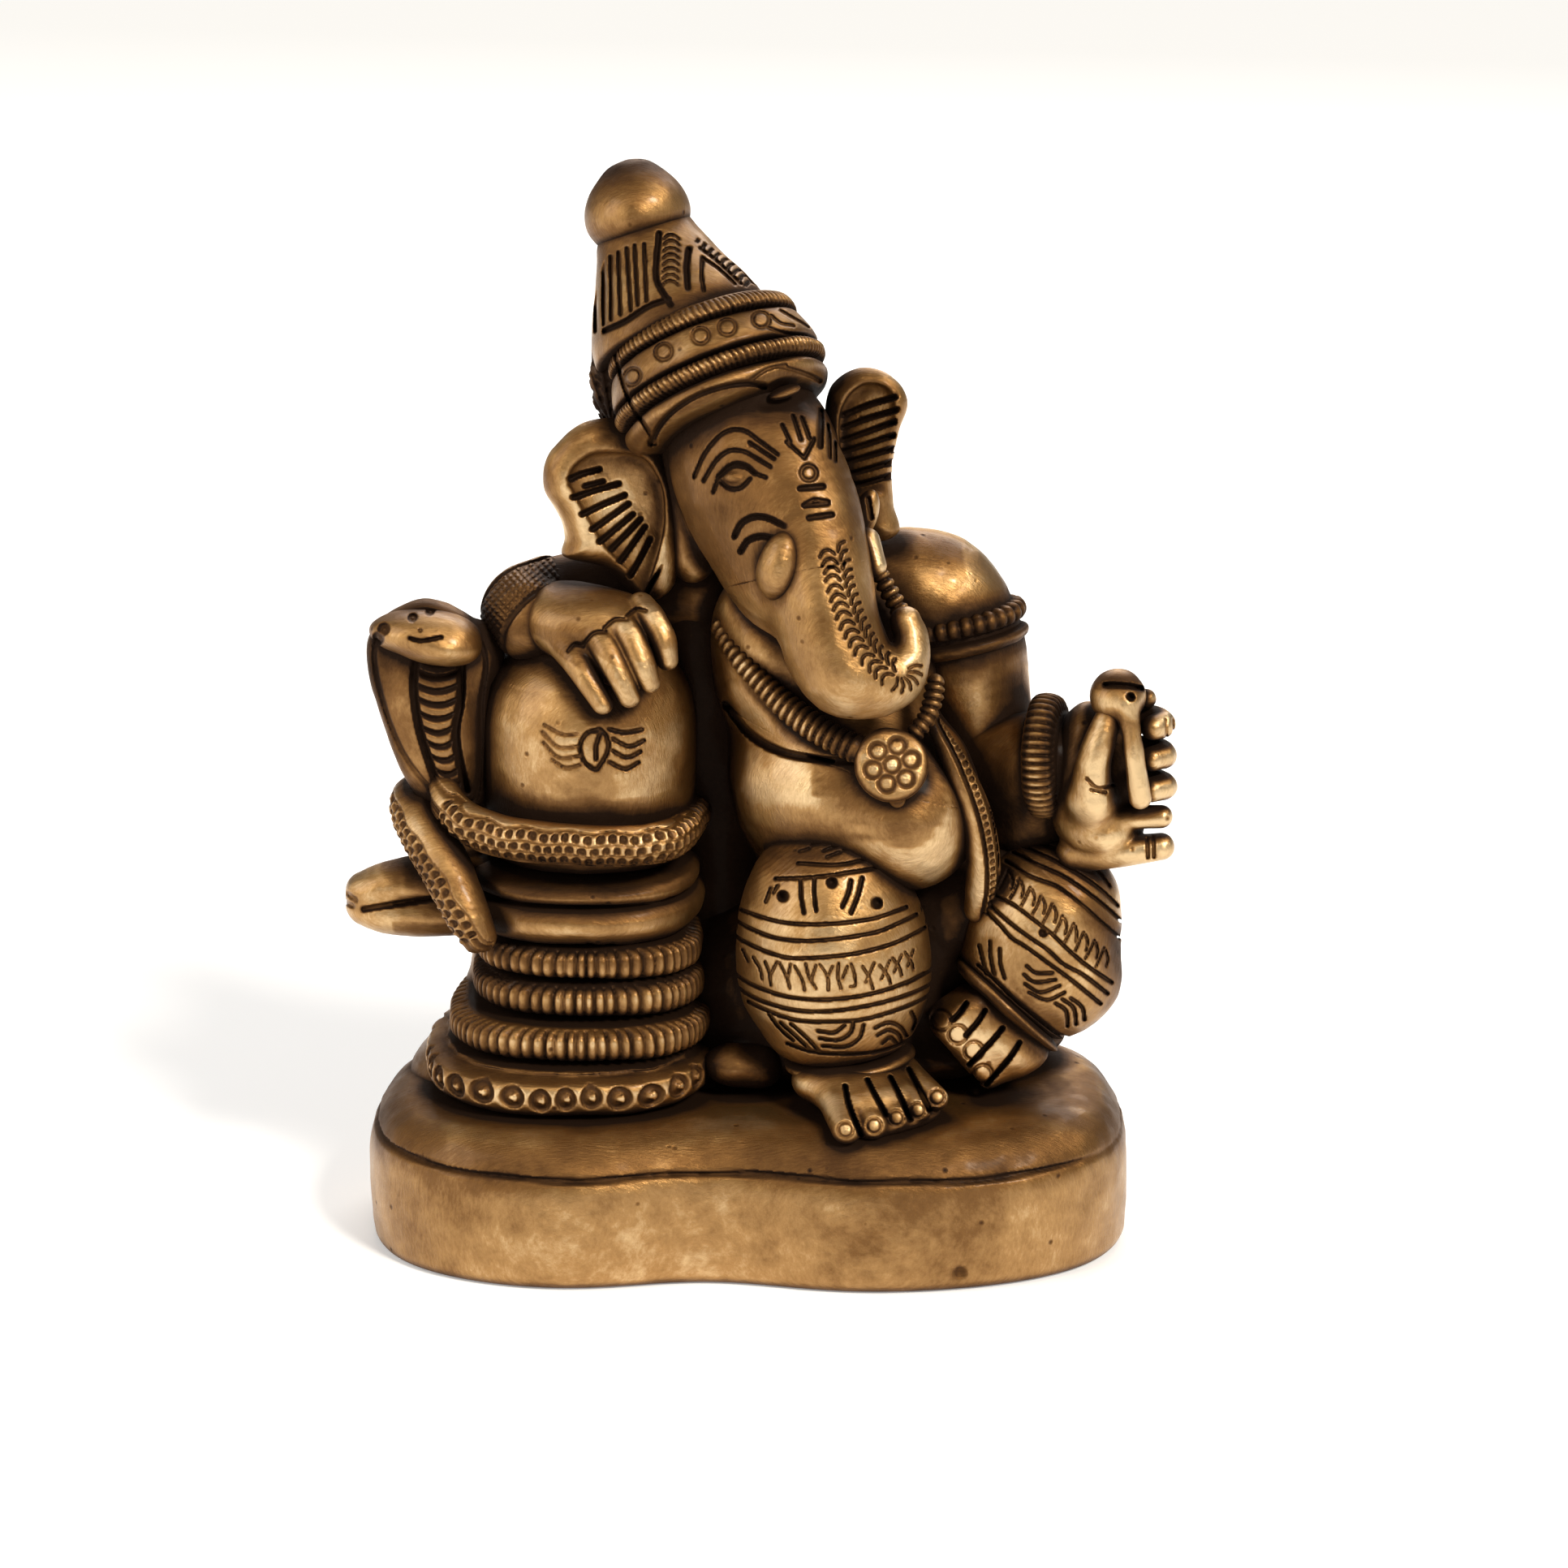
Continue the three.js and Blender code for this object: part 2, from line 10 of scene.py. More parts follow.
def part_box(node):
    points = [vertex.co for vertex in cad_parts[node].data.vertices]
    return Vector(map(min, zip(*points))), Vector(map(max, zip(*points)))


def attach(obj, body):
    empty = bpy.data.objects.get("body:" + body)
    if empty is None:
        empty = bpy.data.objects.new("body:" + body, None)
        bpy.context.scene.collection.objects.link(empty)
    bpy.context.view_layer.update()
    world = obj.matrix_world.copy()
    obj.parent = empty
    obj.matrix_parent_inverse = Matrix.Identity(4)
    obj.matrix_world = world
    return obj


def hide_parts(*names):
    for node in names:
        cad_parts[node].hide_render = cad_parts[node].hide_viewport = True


# The idol is sculpted as wax is: solids are joined and cut as signed distances on a fine grid, the ornament
# is engraved into them, and each piece is then drawn off as a mesh of its own. All of it is in millimetres
# from the middle of the plinth's underside, and the pieces are put in metres at the end.

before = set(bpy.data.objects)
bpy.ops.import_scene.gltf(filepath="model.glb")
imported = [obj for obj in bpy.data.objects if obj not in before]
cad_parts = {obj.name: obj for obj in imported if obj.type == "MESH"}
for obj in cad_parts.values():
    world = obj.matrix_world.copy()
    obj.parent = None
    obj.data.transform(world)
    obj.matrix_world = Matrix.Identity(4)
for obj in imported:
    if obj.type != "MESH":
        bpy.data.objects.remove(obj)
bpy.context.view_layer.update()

MM = 0.001
PLINTH_LOW, PLINTH_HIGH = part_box("base_plinth")
BOTTOM = -0.9
HOME = np.array(
    [(PLINTH_LOW.x + PLINTH_HIGH.x) / 2, (PLINTH_LOW.y + PLINTH_HIGH.y) / 2, PLINTH_LOW.z - BOTTOM * MM]
)

COARSE = 1
FINE = 0.16 * COARSE  # grid steps in millimetres
MEDIUM = 0.21 * COARSE
BROAD = 0.42 * COARSE
ROOM = 1.2  # how far from a solid the grid still holds its distance
FAR = 6.0  # the distance given to everything further off
SKIN = 1.6  # how far either side of a surface the engraving is worked in
LEAN = math.radians(17)  # the drawing plane of the engravings leans back by this much


# ---- Distances ----


def smooth_min(a, b, blend):
    if not blend:
        return np.minimum(a, b)
    near = np.maximum(blend - np.abs(a - b), 0) / blend
    return np.minimum(a, b) - near * near * (blend / 4)


def smooth_max(a, b, blend):
    return -smooth_min(-a, -b, blend)


def turning(degrees):
    """The matrix that turns about X, then Y, then Z."""
    x, y, z = (math.radians(d) for d in degrees)
    turn = Matrix.Rotation(z, 3, "Z") @ Matrix.Rotation(y, 3, "Y") @ Matrix.Rotation(x, 3, "X")
    return np.array(turn, dtype=np.float32)


def axes_along(axis):
    """Unit vectors to the right, to the back and along an axis, as rows."""
    up = np.array(axis, dtype=float)
    up /= np.linalg.norm(up)
    right = np.cross((0, 1, 0), up)
    right /= np.linalg.norm(right)
    return np.array([right, np.cross(up, right), up], dtype=np.float32)


def seen_from(matrix, place, x, y, z):
    """The coordinates of points along the rows of a matrix, from a place."""
    x, y, z = x - place[0], y - place[1], z - place[2]
    return tuple(row[0] * x + row[1] * y + row[2] * z for row in np.asarray(matrix, dtype=np.float32))


def window_between(low, high, *axes):
    """The part of a grid between two corners, as a slice along each axis."""
    return tuple(slice(*np.searchsorted(axis.ravel(), ends)) for axis, ends in zip(axes, zip(low, high)))


class Solid:
    """A shape: its box and its signed distance, negative inside."""

    def __init__(self, low, high, distance):
        self.low, self.high, self.distance = np.array(low, float), np.array(high, float), distance


def ball(centre, radii, turn=None):
    radii = np.array(radii, dtype=np.float32)
    reach = np.full(3, radii.max()) if turn else radii
    back = turning(turn).T if turn else np.eye(3, dtype=np.float32)

    def distance(x, y, z):
        a, b, c = seen_from(back, centre, x, y, z)
        unit = np.sqrt((a / radii[0]) ** 2 + (b / radii[1]) ** 2 + (c / radii[2]) ** 2)
        slope = np.sqrt((a / radii[0] ** 2) ** 2 + (b / radii[1] ** 2) ** 2 + (c / radii[2] ** 2) ** 2)
        return unit * (unit - 1) / np.maximum(slope, 1e-4)

    return Solid(np.array(centre) - reach, np.array(centre) + reach, distance)


def curve_through(points, spans=6, closed=False):
    """Points on a Catmull-Rom curve through the given points, which may have any number of values each."""
    p = np.array(points, dtype=float)
    if closed:
        p = np.vstack([p[-1:], p, p[:2]])
    else:
        p = np.vstack([2 * p[0] - p[1], p, 2 * p[-1] - p[-2]])
    t = np.linspace(0, 1, spans, endpoint=False)[:, None]
    parts = []
    for a, b, c, d in zip(p, p[1:], p[2:], p[3:]):
        parts.append(
            0.5 * (
                2 * b + (c - a) * t + (2 * a - 5 * b + 4 * c - d) * t**2 + (3 * b - a - 3 * c + d) * t**3
            )
        )
    if not closed:
        parts.append(p[-2:-1])
    return np.vstack(parts)


def limb(stations, flat=(1, 1, 1), spans=5):
    """A round-ended limb through stations (x, y, z, radius), flattened by a share along each axis."""
    flat = np.array(flat, dtype=float)
    line = curve_through(stations, spans)
    squashed = line.copy()
    squashed[:, :3] /= flat
    reach = (line[:, 3].max() * flat)[None]
    low, high = (line[:, :3] - reach).min(0), (line[:, :3] + reach).max(0)

    def distance(x, y, z):
        out = np.full(np.broadcast_shapes(x.shape, y.shape, z.shape), FAR, dtype=np.float32)
        for a, b in zip(squashed, squashed[1:]):
            spread = max(a[3], b[3]) + ROOM * 2
            bottom, top = np.minimum(a, b)[:3] * flat - spread, np.maximum(a, b)[:3] * flat + spread
            window = window_between(bottom, top, x, y, z)
            px = (x[window[0]] / flat[0] - a[0]).astype(np.float32)
            py = (y[:, window[1]] / flat[1] - a[1]).astype(np.float32)
            pz = (z[:, :, window[2]] / flat[2] - a[2]).astype(np.float32)
            way = (b - a)[:3].astype(np.float32)
            along = np.clip((px * way[0] + py * way[1] + pz * way[2]) / max(way @ way, 1e-6), 0, 1)
            gap = (px - way[0] * along) ** 2 + (py - way[1] * along) ** 2 + (pz - way[2] * along) ** 2
            near = (np.sqrt(gap) - (a[3] + (b[3] - a[3]) * along)) * flat.min()
            out[window] = np.minimum(out[window], near)
        return out

    return Solid(low, high, distance)


def vase(profile, base, axis=(0, 0, 1), squash=1.0, rounding=0.8, power=2.0, behind=None):
    """A turned form: its radius at each height runs smoothly through profile points (height, radius).
    squash is the share of its width that it keeps from front to back, behind is the same for its back half,
    and a power over 2 squares its plan."""
    steps = curve_through(profile, 10)
    order = np.argsort(steps[:, 0], kind="stable")
    heights, radii = steps[order, 0], np.maximum(steps[order, 1], 0.01)
    fine = np.linspace(heights[0], heights[-1], 400)
    wide = np.interp(fine, heights, radii)
    slopes = np.clip(np.gradient(wide, fine), -5, 5)
    matrix = axes_along(axis)
    middle, half = (fine[0] + fine[-1]) / 2, (fine[-1] - fine[0]) / 2
    reach = radii.max() * (1.1 if power > 2 else 1) * max(1, behind or 0) + 0.5
    ends = [np.array(base) + matrix[2] * h for h in (fine[0], fine[-1])]
    low, high = np.min(ends, axis=0) - reach, np.max(ends, axis=0) + reach

    def distance(x, y, z):
        a, b, h = seen_from(matrix, base, x, y, z)
        b = b / (squash if behind is None else np.where(b < 0, squash, behind))
        if power > 2:
            r = (np.abs(a) ** power + np.abs(b) ** power + 1e-6) ** (1 / power)
        else:
            r = np.sqrt(a * a + b * b)
        at = np.clip((h - fine[0]) / (fine[-1] - fine[0]) * 399, 0, 399).astype(np.int32)
        side = (r - wide[at].astype(np.float32)) / np.sqrt(1 + slopes[at] ** 2).astype(np.float32)
        narrow = max(squash, 0.6)
        return smooth_max(side * narrow, np.abs(h - middle) - half, rounding).astype(np.float32)

    return Solid(low, high, distance)


def plate(outline, depth_at, thickness, turn=0, rounding=1.0, smooth=6):
    """A plate that faces the front: its outline runs through points (x, z), and depth_at is its middle."""
    loop = curve_through(outline, smooth, closed=True)
    centre = (loop.min(0) + loop.max(0)) / 2
    local = loop - centre
    reach = np.abs(local).max(0) + 2
    step = 0.12
    u = np.arange(-reach[0], reach[0] + step, step, dtype=np.float32)
    w = np.arange(-reach[1], reach[1] + step, step, dtype=np.float32)
    table = polygon_distance(local, u[:, None], w[None, :])
    cos, sin = math.cos(math.radians(turn)), math.sin(math.radians(turn))
    across_to, through_to = reach[0] * np.array([cos, sin]), thickness * np.array([-sin, cos])
    centre_plan = np.array([centre[0], depth_at])
    corners = [centre_plan + sx * across_to + sy * through_to for sx in (-1, 1) for sy in (-1, 1)]
    low = (*np.min(corners, axis=0), centre[1] - reach[1])
    high = (*np.max(corners, axis=0), centre[1] + reach[1])

    def across(x, y):
        return (x - centre[0]) * cos + (y - depth_at) * sin, -(x - centre[0]) * sin + (y - depth_at) * cos

    def flat_distance(x, y, z):
        side, _ = across(x, y)
        i = np.clip((side + reach[0]) / step, 0, len(u) - 1.001)
        k = np.clip((z - centre[1] + reach[1]) / step, 0, len(w) - 1.001)
        i, k = np.broadcast_arrays(i, k)
        i0, k0 = i.astype(np.int32), k.astype(np.int32)
        along_u, along_w = i - i0, k - k0
        top = table[i0, k0] * (1 - along_u) + table[i0 + 1, k0] * along_u
        bottom = table[i0, k0 + 1] * (1 - along_u) + table[i0 + 1, k0 + 1] * along_u
        return (top * (1 - along_w) + bottom * along_w).astype(np.float32)

    def distance(x, y, z):
        _, through = across(x, y)
        return smooth_max(
            flat_distance(x, y, z), np.abs(through) - thickness / 2, rounding,
        ).astype(np.float32)

    solid = Solid(low, high, distance)
    solid.edge = flat_distance
    solid.across = across
    return solid


def polygon_distance(points, u, w):
    """The signed distance to a closed polygon, negative inside."""
    nearest = np.full(np.broadcast_shapes(u.shape, w.shape), 1e9, dtype=np.float32)
    inside = np.zeros(nearest.shape, dtype=bool)
    for (ax, ay), (bx, by) in zip(points, np.roll(points, -1, axis=0)):
        ex, ey = bx - ax, by - ay
        along = np.clip(((u - ax) * ex + (w - ay) * ey) / max(ex * ex + ey * ey, 1e-9), 0, 1)
        nearest = np.minimum(nearest, (u - ax - ex * along) ** 2 + (w - ay - ey * along) ** 2)
        if ey:
            crosses = ((ay > w) != (by > w)) & (u < ex * (w - ay) / ey + ax)
            inside ^= crosses
    return np.sqrt(nearest) * np.where(inside, -1, 1)


def half_space(point, outward):
    """Everything behind a plane."""
    outward = np.array(outward, dtype=float)
    outward /= np.linalg.norm(outward)

    def distance(x, y, z):
        return (
            (x - point[0]) * outward[0] + (y - point[1]) * outward[1] + (z - point[2]) * outward[2]
        ).astype(np.float32)

    return Solid((-1e3,) * 3, (1e3,) * 3, distance)


# ---- Engraving ----
# An engraving is a function of points that says how deep the surface is cut there, in millimetres.


def ridge(offset, width):
    """1 on a line, falling smoothly to 0 at its width."""
    return np.clip(1 - (offset / width) ** 2, 0, 1)


def step_up(value, low, high):
    t = np.clip((value - low) / (high - low), 0, 1)
    return t * t * (3 - 2 * t)


def strokes(u, v, lines, width, curved=False):
    """How far points are into strokes along lines, from 0 to 1. A stroke tapers at its ends."""
    out = np.zeros(u.shape, dtype=np.float32)
    width *= 0.88
    for line in lines:
        points = curve_through(line, 5) if curved and len(line) > 2 else np.array(line, dtype=float)
        low, high = points.min(0) - width, points.max(0) + width
        here = np.nonzero((u > low[0]) & (u < high[0]) & (v > low[1]) & (v < high[1]))[0]
        if not len(here):
            continue
        pu, pv = u[here], v[here]
        best = np.full(len(here), 1e9, dtype=np.float32)
        for (ax, ay), (bx, by) in zip(points, points[1:]):
            ex, ey = bx - ax, by - ay
            along = np.clip(((pu - ax) * ex + (pv - ay) * ey) / max(ex * ex + ey * ey, 1e-9), 0, 1)
            best = np.minimum(best, (pu - ax - ex * along) ** 2 + (pv - ay - ey * along) ** 2)
        out[here] = np.maximum(out[here], ridge(np.sqrt(best), width))
    return out


def off_centre(phase):
    """0 in the middle of each unit of a phase, and 1 where two units meet."""
    return np.abs(2 * (phase - np.floor(phase)) - 1)


def punched(u, v, centres, radius, width=0.34):
    """Circles struck with a ring punch."""
    out = np.zeros(u.shape, dtype=np.float32)
    for cu, cv in centres:
        out = np.maximum(out, ridge(np.hypot(u - cu, v - cv) - radius, width))
    return out


def drawing(x, y, z):
    """Places on the leaning drawing plane: across it and up it."""
    return x, z * math.cos(LEAN) + y * math.sin(LEAN)


def nearest_on(path, x, y, z):
    """For each point: how far along a path its nearest place is, and the way from there to the point."""
    path = np.asarray(path, dtype=np.float32)
    lengths = np.concatenate([[0], np.cumsum(np.linalg.norm(np.diff(path, axis=0), axis=1))])
    best = np.full(x.shape, 1e9, dtype=np.float32)
    along = np.zeros(x.shape, dtype=np.float32)
    away = np.zeros((3, len(x)), dtype=np.float32)
    ahead = np.zeros((3, len(x)), dtype=np.float32)
    for i, (a, b) in enumerate(zip(path, path[1:])):
        way = b - a
        length = max(float(np.linalg.norm(way)), 1e-6)
        p = np.stack([x - a[0], y - a[1], z - a[2]])
        t = np.clip((way @ p) / length**2, 0, 1)
        gap = p - way[:, None] * t
        size = (gap**2).sum(0)
        closer = size < best
        best = np.where(closer, size, best)
        along = np.where(closer, lengths[i] + t * length, along)
        away = np.where(closer, gap, away)
        ahead = np.where(closer, (way / length)[:, None], ahead)
    return along, away, ahead


# ---- Places of the engraved strokes on the drawing plane ----
CONE_WIDE = [
    [(-10.1, 114.6), (-10.4, 110.4), (-10.2, 108.6), (-9.3, 106.9), (-8.6, 105.8)],
    [(-6.7, 112.7), (-6.9, 110.4), (-6.7, 107.8)],
    [(-16.3, 103.3), (-13.9, 104.1), (-11.2, 105.7), (-8.9, 106.5)],
]
CONE_FINE = [
    [(-17.6, 109.0), (-17.4, 103.5)], [(-16.6, 111.5), (-16.4, 104.1)], [(-15.7, 112.1), (-15.5, 104.5)],
    [(-14.8, 112.5), (-14.4, 105.0)], [(-13.8, 112.9), (-13.2, 105.4)], [(-12.9, 113.2), (-12.4, 106.0)],
    [(-11.8, 113.3), (-11.4, 106.4)], [(-5.1, 111.7), (-5.2, 109.5), (-4.9, 107.5)],
    [(-4.9, 111.5), (-3.2, 110.3), (-1.4, 108.6)], [(-5.4, 112.9), (-3.3, 111.2), (-0.8, 108.7)],
    [(-5.8, 114.6), (-3.8, 113.9), (-1.4, 111.8), (0.7, 109.1)],
]
CONE_CHISEL = [
    [(-9.6, low), (-9.1, high), (-8.4, high), (-7.8, low)] for low, high in (
        (113.9, 114.4), (113.2, 113.7), (112.4, 112.8), (111.5, 112.0), (110.7, 111.2), (109.9, 110.3),
        (109.0, 109.5), (108.2, 108.7),
    )
]
CONE_STRIP = [
    [(-5.8, 113.7), (-5.5, 114.2), (-4.9, 114.6)], [(-5.1, 113.0), (-4.8, 113.6), (-4.2, 113.9)],
    [(-4.4, 112.4), (-4.1, 112.9), (-3.5, 113.3)], [(-3.7, 111.7), (-3.4, 112.3), (-2.8, 112.7)],
    [(-3.0, 111.1), (-2.7, 111.6), (-2.1, 112.0)], [(-2.3, 110.4), (-2.0, 111.0), (-1.4, 111.4)],
    [(-1.6, 109.8), (-1.3, 110.3), (-0.7, 110.7)], [(-0.9, 109.1), (-0.6, 109.7), (0.1, 110.1)],
    [(-0.2, 108.5), (0.1, 109.0), (0.8, 109.4)],
]
BAND_RINGS = [(-13.0, 97.8), (-9.4, 100.4), (-5.2, 102.1), (-2.2, 103.1), (1.6, 104.1)]
BAND_LEAVES = [
    [(2.7, 104.7), (3.8, 103.8), (5.3, 103.6)], [(3.8, 105.4), (5.5, 104.5), (7.0, 103.8)],
    [(2.3, 103.2), (4.1, 102.7), (6.6, 102.6)],
]
CROWN_END = [[(-15.2, 101.2), (-14.2, 97.5), (-13.2, 94.8), (-11.8, 92.6), (-10.5, 90.5)]]
UNDER_RIM = [
    [(-11.0, 90.5), (-9.7, 92.4), (-7.8, 94.0), (-5.5, 95.3), (-2.8, 96.2), (-0.0, 96.7), (2.0, 96.5)],
]
OVER_GEM = [[(3.6, 98.7), (5.9, 98.3), (8.3, 97.7)], [(0.4, 97.0), (2.3, 98.3), (4.4, 98.9)]]
SPINE = [
    (10.0, 78.0), (10.6, 75.8), (10.9, 74.0), (11.5, 72.1), (12.1, 70.3), (13.0, 68.5), (14.1, 66.7),
    (15.5, 65.3), (16.9, 63.9),
]
LEG_RIGHT_LINES = [
    [(5.8, 42.4), (10.2, 42.2), (13.5, 42.8)], [(3.2, 40.6), (7.4, 40.8), (12.1, 41.4), (15.0, 41.9)],
    [(-0.8, 36.9), (1.8, 36.1), (4.1, 35.6), (7.4, 35.4), (11.1, 35.6), (14.7, 36.1), (18.4, 37.3)],
    [
        (-1.6, 35.7), (0.8, 34.6), (3.2, 33.8), (6.0, 33.5), (8.8, 33.6), (12.1, 34.0), (14.9, 34.5),
        (16.8, 35.2), (19.6, 36.4),
    ],
    [
        (-2.2, 34.2), (0.1, 33.0), (2.7, 32.0), (5.0, 31.5), (8.3, 31.6), (12.1, 32.0), (15.3, 32.7),
        (17.5, 33.4), (20.6, 34.8),
    ],
    [
        (-2.4, 29.8), (0.4, 28.3), (3.6, 27.2), (6.0, 26.8), (9.2, 26.7), (13.0, 27.1), (16.7, 28.0),
        (20.7, 29.5), (22.6, 30.4),
    ],
    [
        (-1.6, 27.9), (1.3, 26.5), (5.0, 25.5), (8.8, 25.3), (13.0, 25.8), (16.7, 26.6), (20.5, 27.8),
        (22.2, 28.6),
    ],
    [
        (0.0, 26.2), (3.2, 24.9), (6.0, 24.2), (9.2, 24.1), (13.0, 24.3), (16.7, 25.2), (20.2, 26.4),
        (21.8, 27.2),
    ], [(4.6, 21.4), (7.4, 20.5), (11.1, 20.2), (14.9, 20.4), (17.8, 21.2), (19.6, 22.0)],
]
LEG_RIGHT_BARS = [
    [(6.1, 40.5), (6.2, 38.5), (6.5, 36.7)], [(7.7, 40.7), (7.7, 38.7), (7.9, 37.0)],
    [(11.9, 40.4), (11.6, 39.0), (10.9, 37.4)], [(13.2, 40.7), (12.7, 38.7), (11.9, 36.7)],
    [(18.4, 28.5), (20.5, 29.5)],
]
LEG_RIGHT_DOTS = [(9.7, 40.2), (14.9, 37.8), (4.1, 38.6)]
LEG_RIGHT_ZIGZAG = [
    [(2.0, 31.0), (2.5, 29.7), (2.7, 28.2)], [(3.4, 31.0), (2.7, 29.6)],
    [(3.7, 30.9), (4.5, 29.3), (4.9, 27.9)], [(5.0, 30.8), (4.6, 29.1)],
    [(5.4, 30.6), (6.3, 29.0), (6.6, 27.7)], [(6.7, 30.9), (7.1, 29.3), (7.9, 28.0)],
    [(7.9, 30.7), (7.3, 28.9)], [(8.3, 30.8), (9.2, 29.4), (9.3, 27.8)], [(9.8, 30.6), (9.2, 29.3)],
    [(10.5, 31.0), (10.4, 29.4), (10.8, 27.9)], [(11.5, 30.6), (10.9, 29.1)],
    [(11.9, 30.9), (12.3, 29.7), (12.4, 28.4), (11.8, 28.2)], [(13.2, 30.6), (14.0, 29.3), (14.5, 27.8)],
    [(14.6, 31.0), (13.6, 28.7)], [(15.2, 30.7), (16.2, 29.4), (16.5, 28.4)], [(16.4, 31.2), (15.4, 29.0)],
    [(16.7, 31.5), (17.5, 30.4), (17.8, 29.4)], [(17.8, 31.8), (16.9, 29.8)],
    [(18.2, 32.1), (19.0, 30.8), (19.2, 30.0)], [(19.2, 32.3), (18.5, 30.4)],
    [(0.6, 31.5), (1.4, 30.2), (1.7, 28.9)], [(-0.6, 32.3), (0.1, 30.9)],
]
LEG_RIGHT_SWIRLS = [
    [(8.1, 23.0), (10.0, 22.8), (11.2, 23.7)], [(8.3, 22.1), (10.5, 21.9), (11.9, 22.8), (12.2, 24.0)],
    [(8.7, 21.2), (11.3, 21.1), (12.9, 22.1), (13.4, 23.7)],
    [(14.7, 23.3), (16.3, 23.9), (17.7, 23.3), (18.5, 22.1)],
    [(15.0, 22.4), (16.3, 23.0), (17.5, 22.4), (17.9, 21.4)], [(15.6, 21.4), (16.5, 22.1), (17.3, 21.3)],
    [(3.8, 23.9), (5.7, 22.2), (7.4, 20.5)], [(5.0, 23.8), (6.7, 22.3), (8.4, 20.4)],
    [(19.0, 25.0), (19.5, 23.9), (19.2, 22.8)], [(2.5, 24.8), (3.8, 23.1), (5.3, 21.8)],
]
KNEE_RIGHT_MARKS = [
    [(7.4, 44.5), (8.5, 44.9)], [(8.7, 43.8), (10.3, 44.4)], [(9.1, 43.1), (10.7, 43.7)],
    [(11.1, 44.0), (12.2, 44.2)], [(6.0, 43.7), (7.2, 44.1)], [(2.7, 39.5), (2.1, 37.9)],
    [(3.5, 39.8), (3.0, 39.0)],
]
LEG_LEFT_LINES = [
    [(27.1, 37.4), (29.2, 35.3), (30.6, 33.7), (32.2, 32.7), (34.8, 30.8), (37.7, 28.7), (41.3, 25.8)],
    [(27.5, 38.2), (29.9, 35.9), (32.2, 34.1), (34.8, 32.3), (36.7, 30.6), (39.1, 29.3), (42.1, 27.0)],
    [(28.0, 38.9), (30.6, 37.7), (32.9, 36.0), (35.3, 34.1), (37.2, 32.3), (39.5, 30.4), (42.6, 28.3)],
    [(30.1, 42.5), (32.9, 40.8), (35.8, 39.7), (38.6, 37.7), (41.0, 35.6), (43.5, 33.5)],
    [(31.0, 43.5), (33.9, 42.1), (36.7, 40.8), (39.5, 38.9), (41.9, 37.0), (43.7, 35.4)],
    [(32.2, 44.2), (35.8, 42.6), (38.6, 41.0), (41.0, 39.3), (43.2, 37.3)],
    [(33.9, 44.7), (37.7, 43.3), (40.5, 41.6), (42.2, 39.6)],
    [(26.9, 30.4), (28.7, 28.8), (31.0, 26.5), (33.9, 24.1), (36.2, 22.3), (37.9, 21.5)],
]
LEG_LEFT_DOTS = [(34.3, 34.3)]
LEG_LEFT_ZIGZAG = [
    [(30.3, 41.5), (29.8, 40.4), (29.2, 39.3)], [(30.5, 41.2), (30.8, 40.3), (30.6, 39.3)],
    [(31.5, 40.6), (31.1, 39.4), (30.5, 38.3)], [(31.7, 40.3), (32.0, 39.3), (31.8, 38.4)],
    [(32.8, 39.6), (32.3, 38.5), (31.7, 37.3)], [(33.0, 39.3), (33.3, 38.4), (33.1, 37.4)],
    [(34.0, 38.6), (33.6, 37.5), (33.0, 36.4)], [(34.2, 38.3), (34.5, 37.4), (34.3, 36.5)],
    [(35.3, 37.7), (34.8, 36.5), (34.2, 35.4)], [(35.5, 37.4), (35.8, 36.4), (35.6, 35.5)],
    [(36.5, 36.3), (36.1, 35.2), (35.5, 34.1)], [(36.7, 36.0), (37.0, 35.1), (36.8, 34.1)],
    [(37.8, 35.4), (37.3, 34.2), (36.7, 33.1)], [(38.0, 35.1), (38.2, 34.1), (38.1, 33.2)],
    [(39.0, 34.4), (38.5, 33.3), (38.0, 32.1)], [(39.2, 34.1), (39.5, 33.2), (39.3, 32.2)],
    [(40.3, 33.4), (39.8, 32.3), (39.2, 31.2)], [(40.5, 33.1), (40.7, 32.2), (40.6, 31.3)],
    [(41.5, 32.5), (41.0, 31.3), (40.5, 30.2)], [(41.7, 32.2), (42.0, 31.2), (41.8, 30.3)],
]
LEG_LEFT_SWIRLS = [
    [(27.0, 32.7), (27.4, 31.0), (27.8, 29.4)], [(28.2, 33.2), (28.3, 31.3), (28.7, 29.3)],
    [(29.3, 32.4), (29.4, 30.6), (29.9, 28.9)], [(32.4, 30.4), (33.5, 29.6), (35.4, 29.6)],
    [(32.1, 29.4), (33.4, 28.5), (35.8, 28.8)], [(32.2, 28.3), (34.0, 27.3), (36.3, 28.1)],
    [(32.7, 27.3), (34.8, 26.4), (36.9, 27.3)], [(35.8, 26.0), (37.1, 25.1), (37.4, 23.2)],
    [(36.6, 26.5), (38.0, 25.4), (38.4, 23.4)], [(37.6, 26.6), (39.0, 25.5), (39.4, 23.9)],
]
FOOT_LEFT_SLOTS = [
    [(25.5, 25.9), (24.8, 24.9), (23.9, 24.0)], [(27.7, 25.1), (26.8, 23.7), (25.5, 22.2)],
    [(29.8, 23.0), (28.5, 21.4), (25.9, 18.6)], [(31.8, 21.3), (30.6, 19.4), (28.0, 16.2)],
]
FOOT_LEFT_NAILS = [(22.6, 23.9), (24.5, 22.3), (26.4, 20.3), (27.5, 17.5)]
FOOT_LEFT_OUTLINE = [
    (21.5, 24.1), (23.7, 26.0), (26.4, 27.1), (28.5, 25.9), (31.1, 23.5), (34.3, 19.9), (34.0, 18.7),
    (30.6, 16.8), (27.8, 15.8), (26.4, 16.8), (23.7, 20.1), (21.8, 22.3),
]
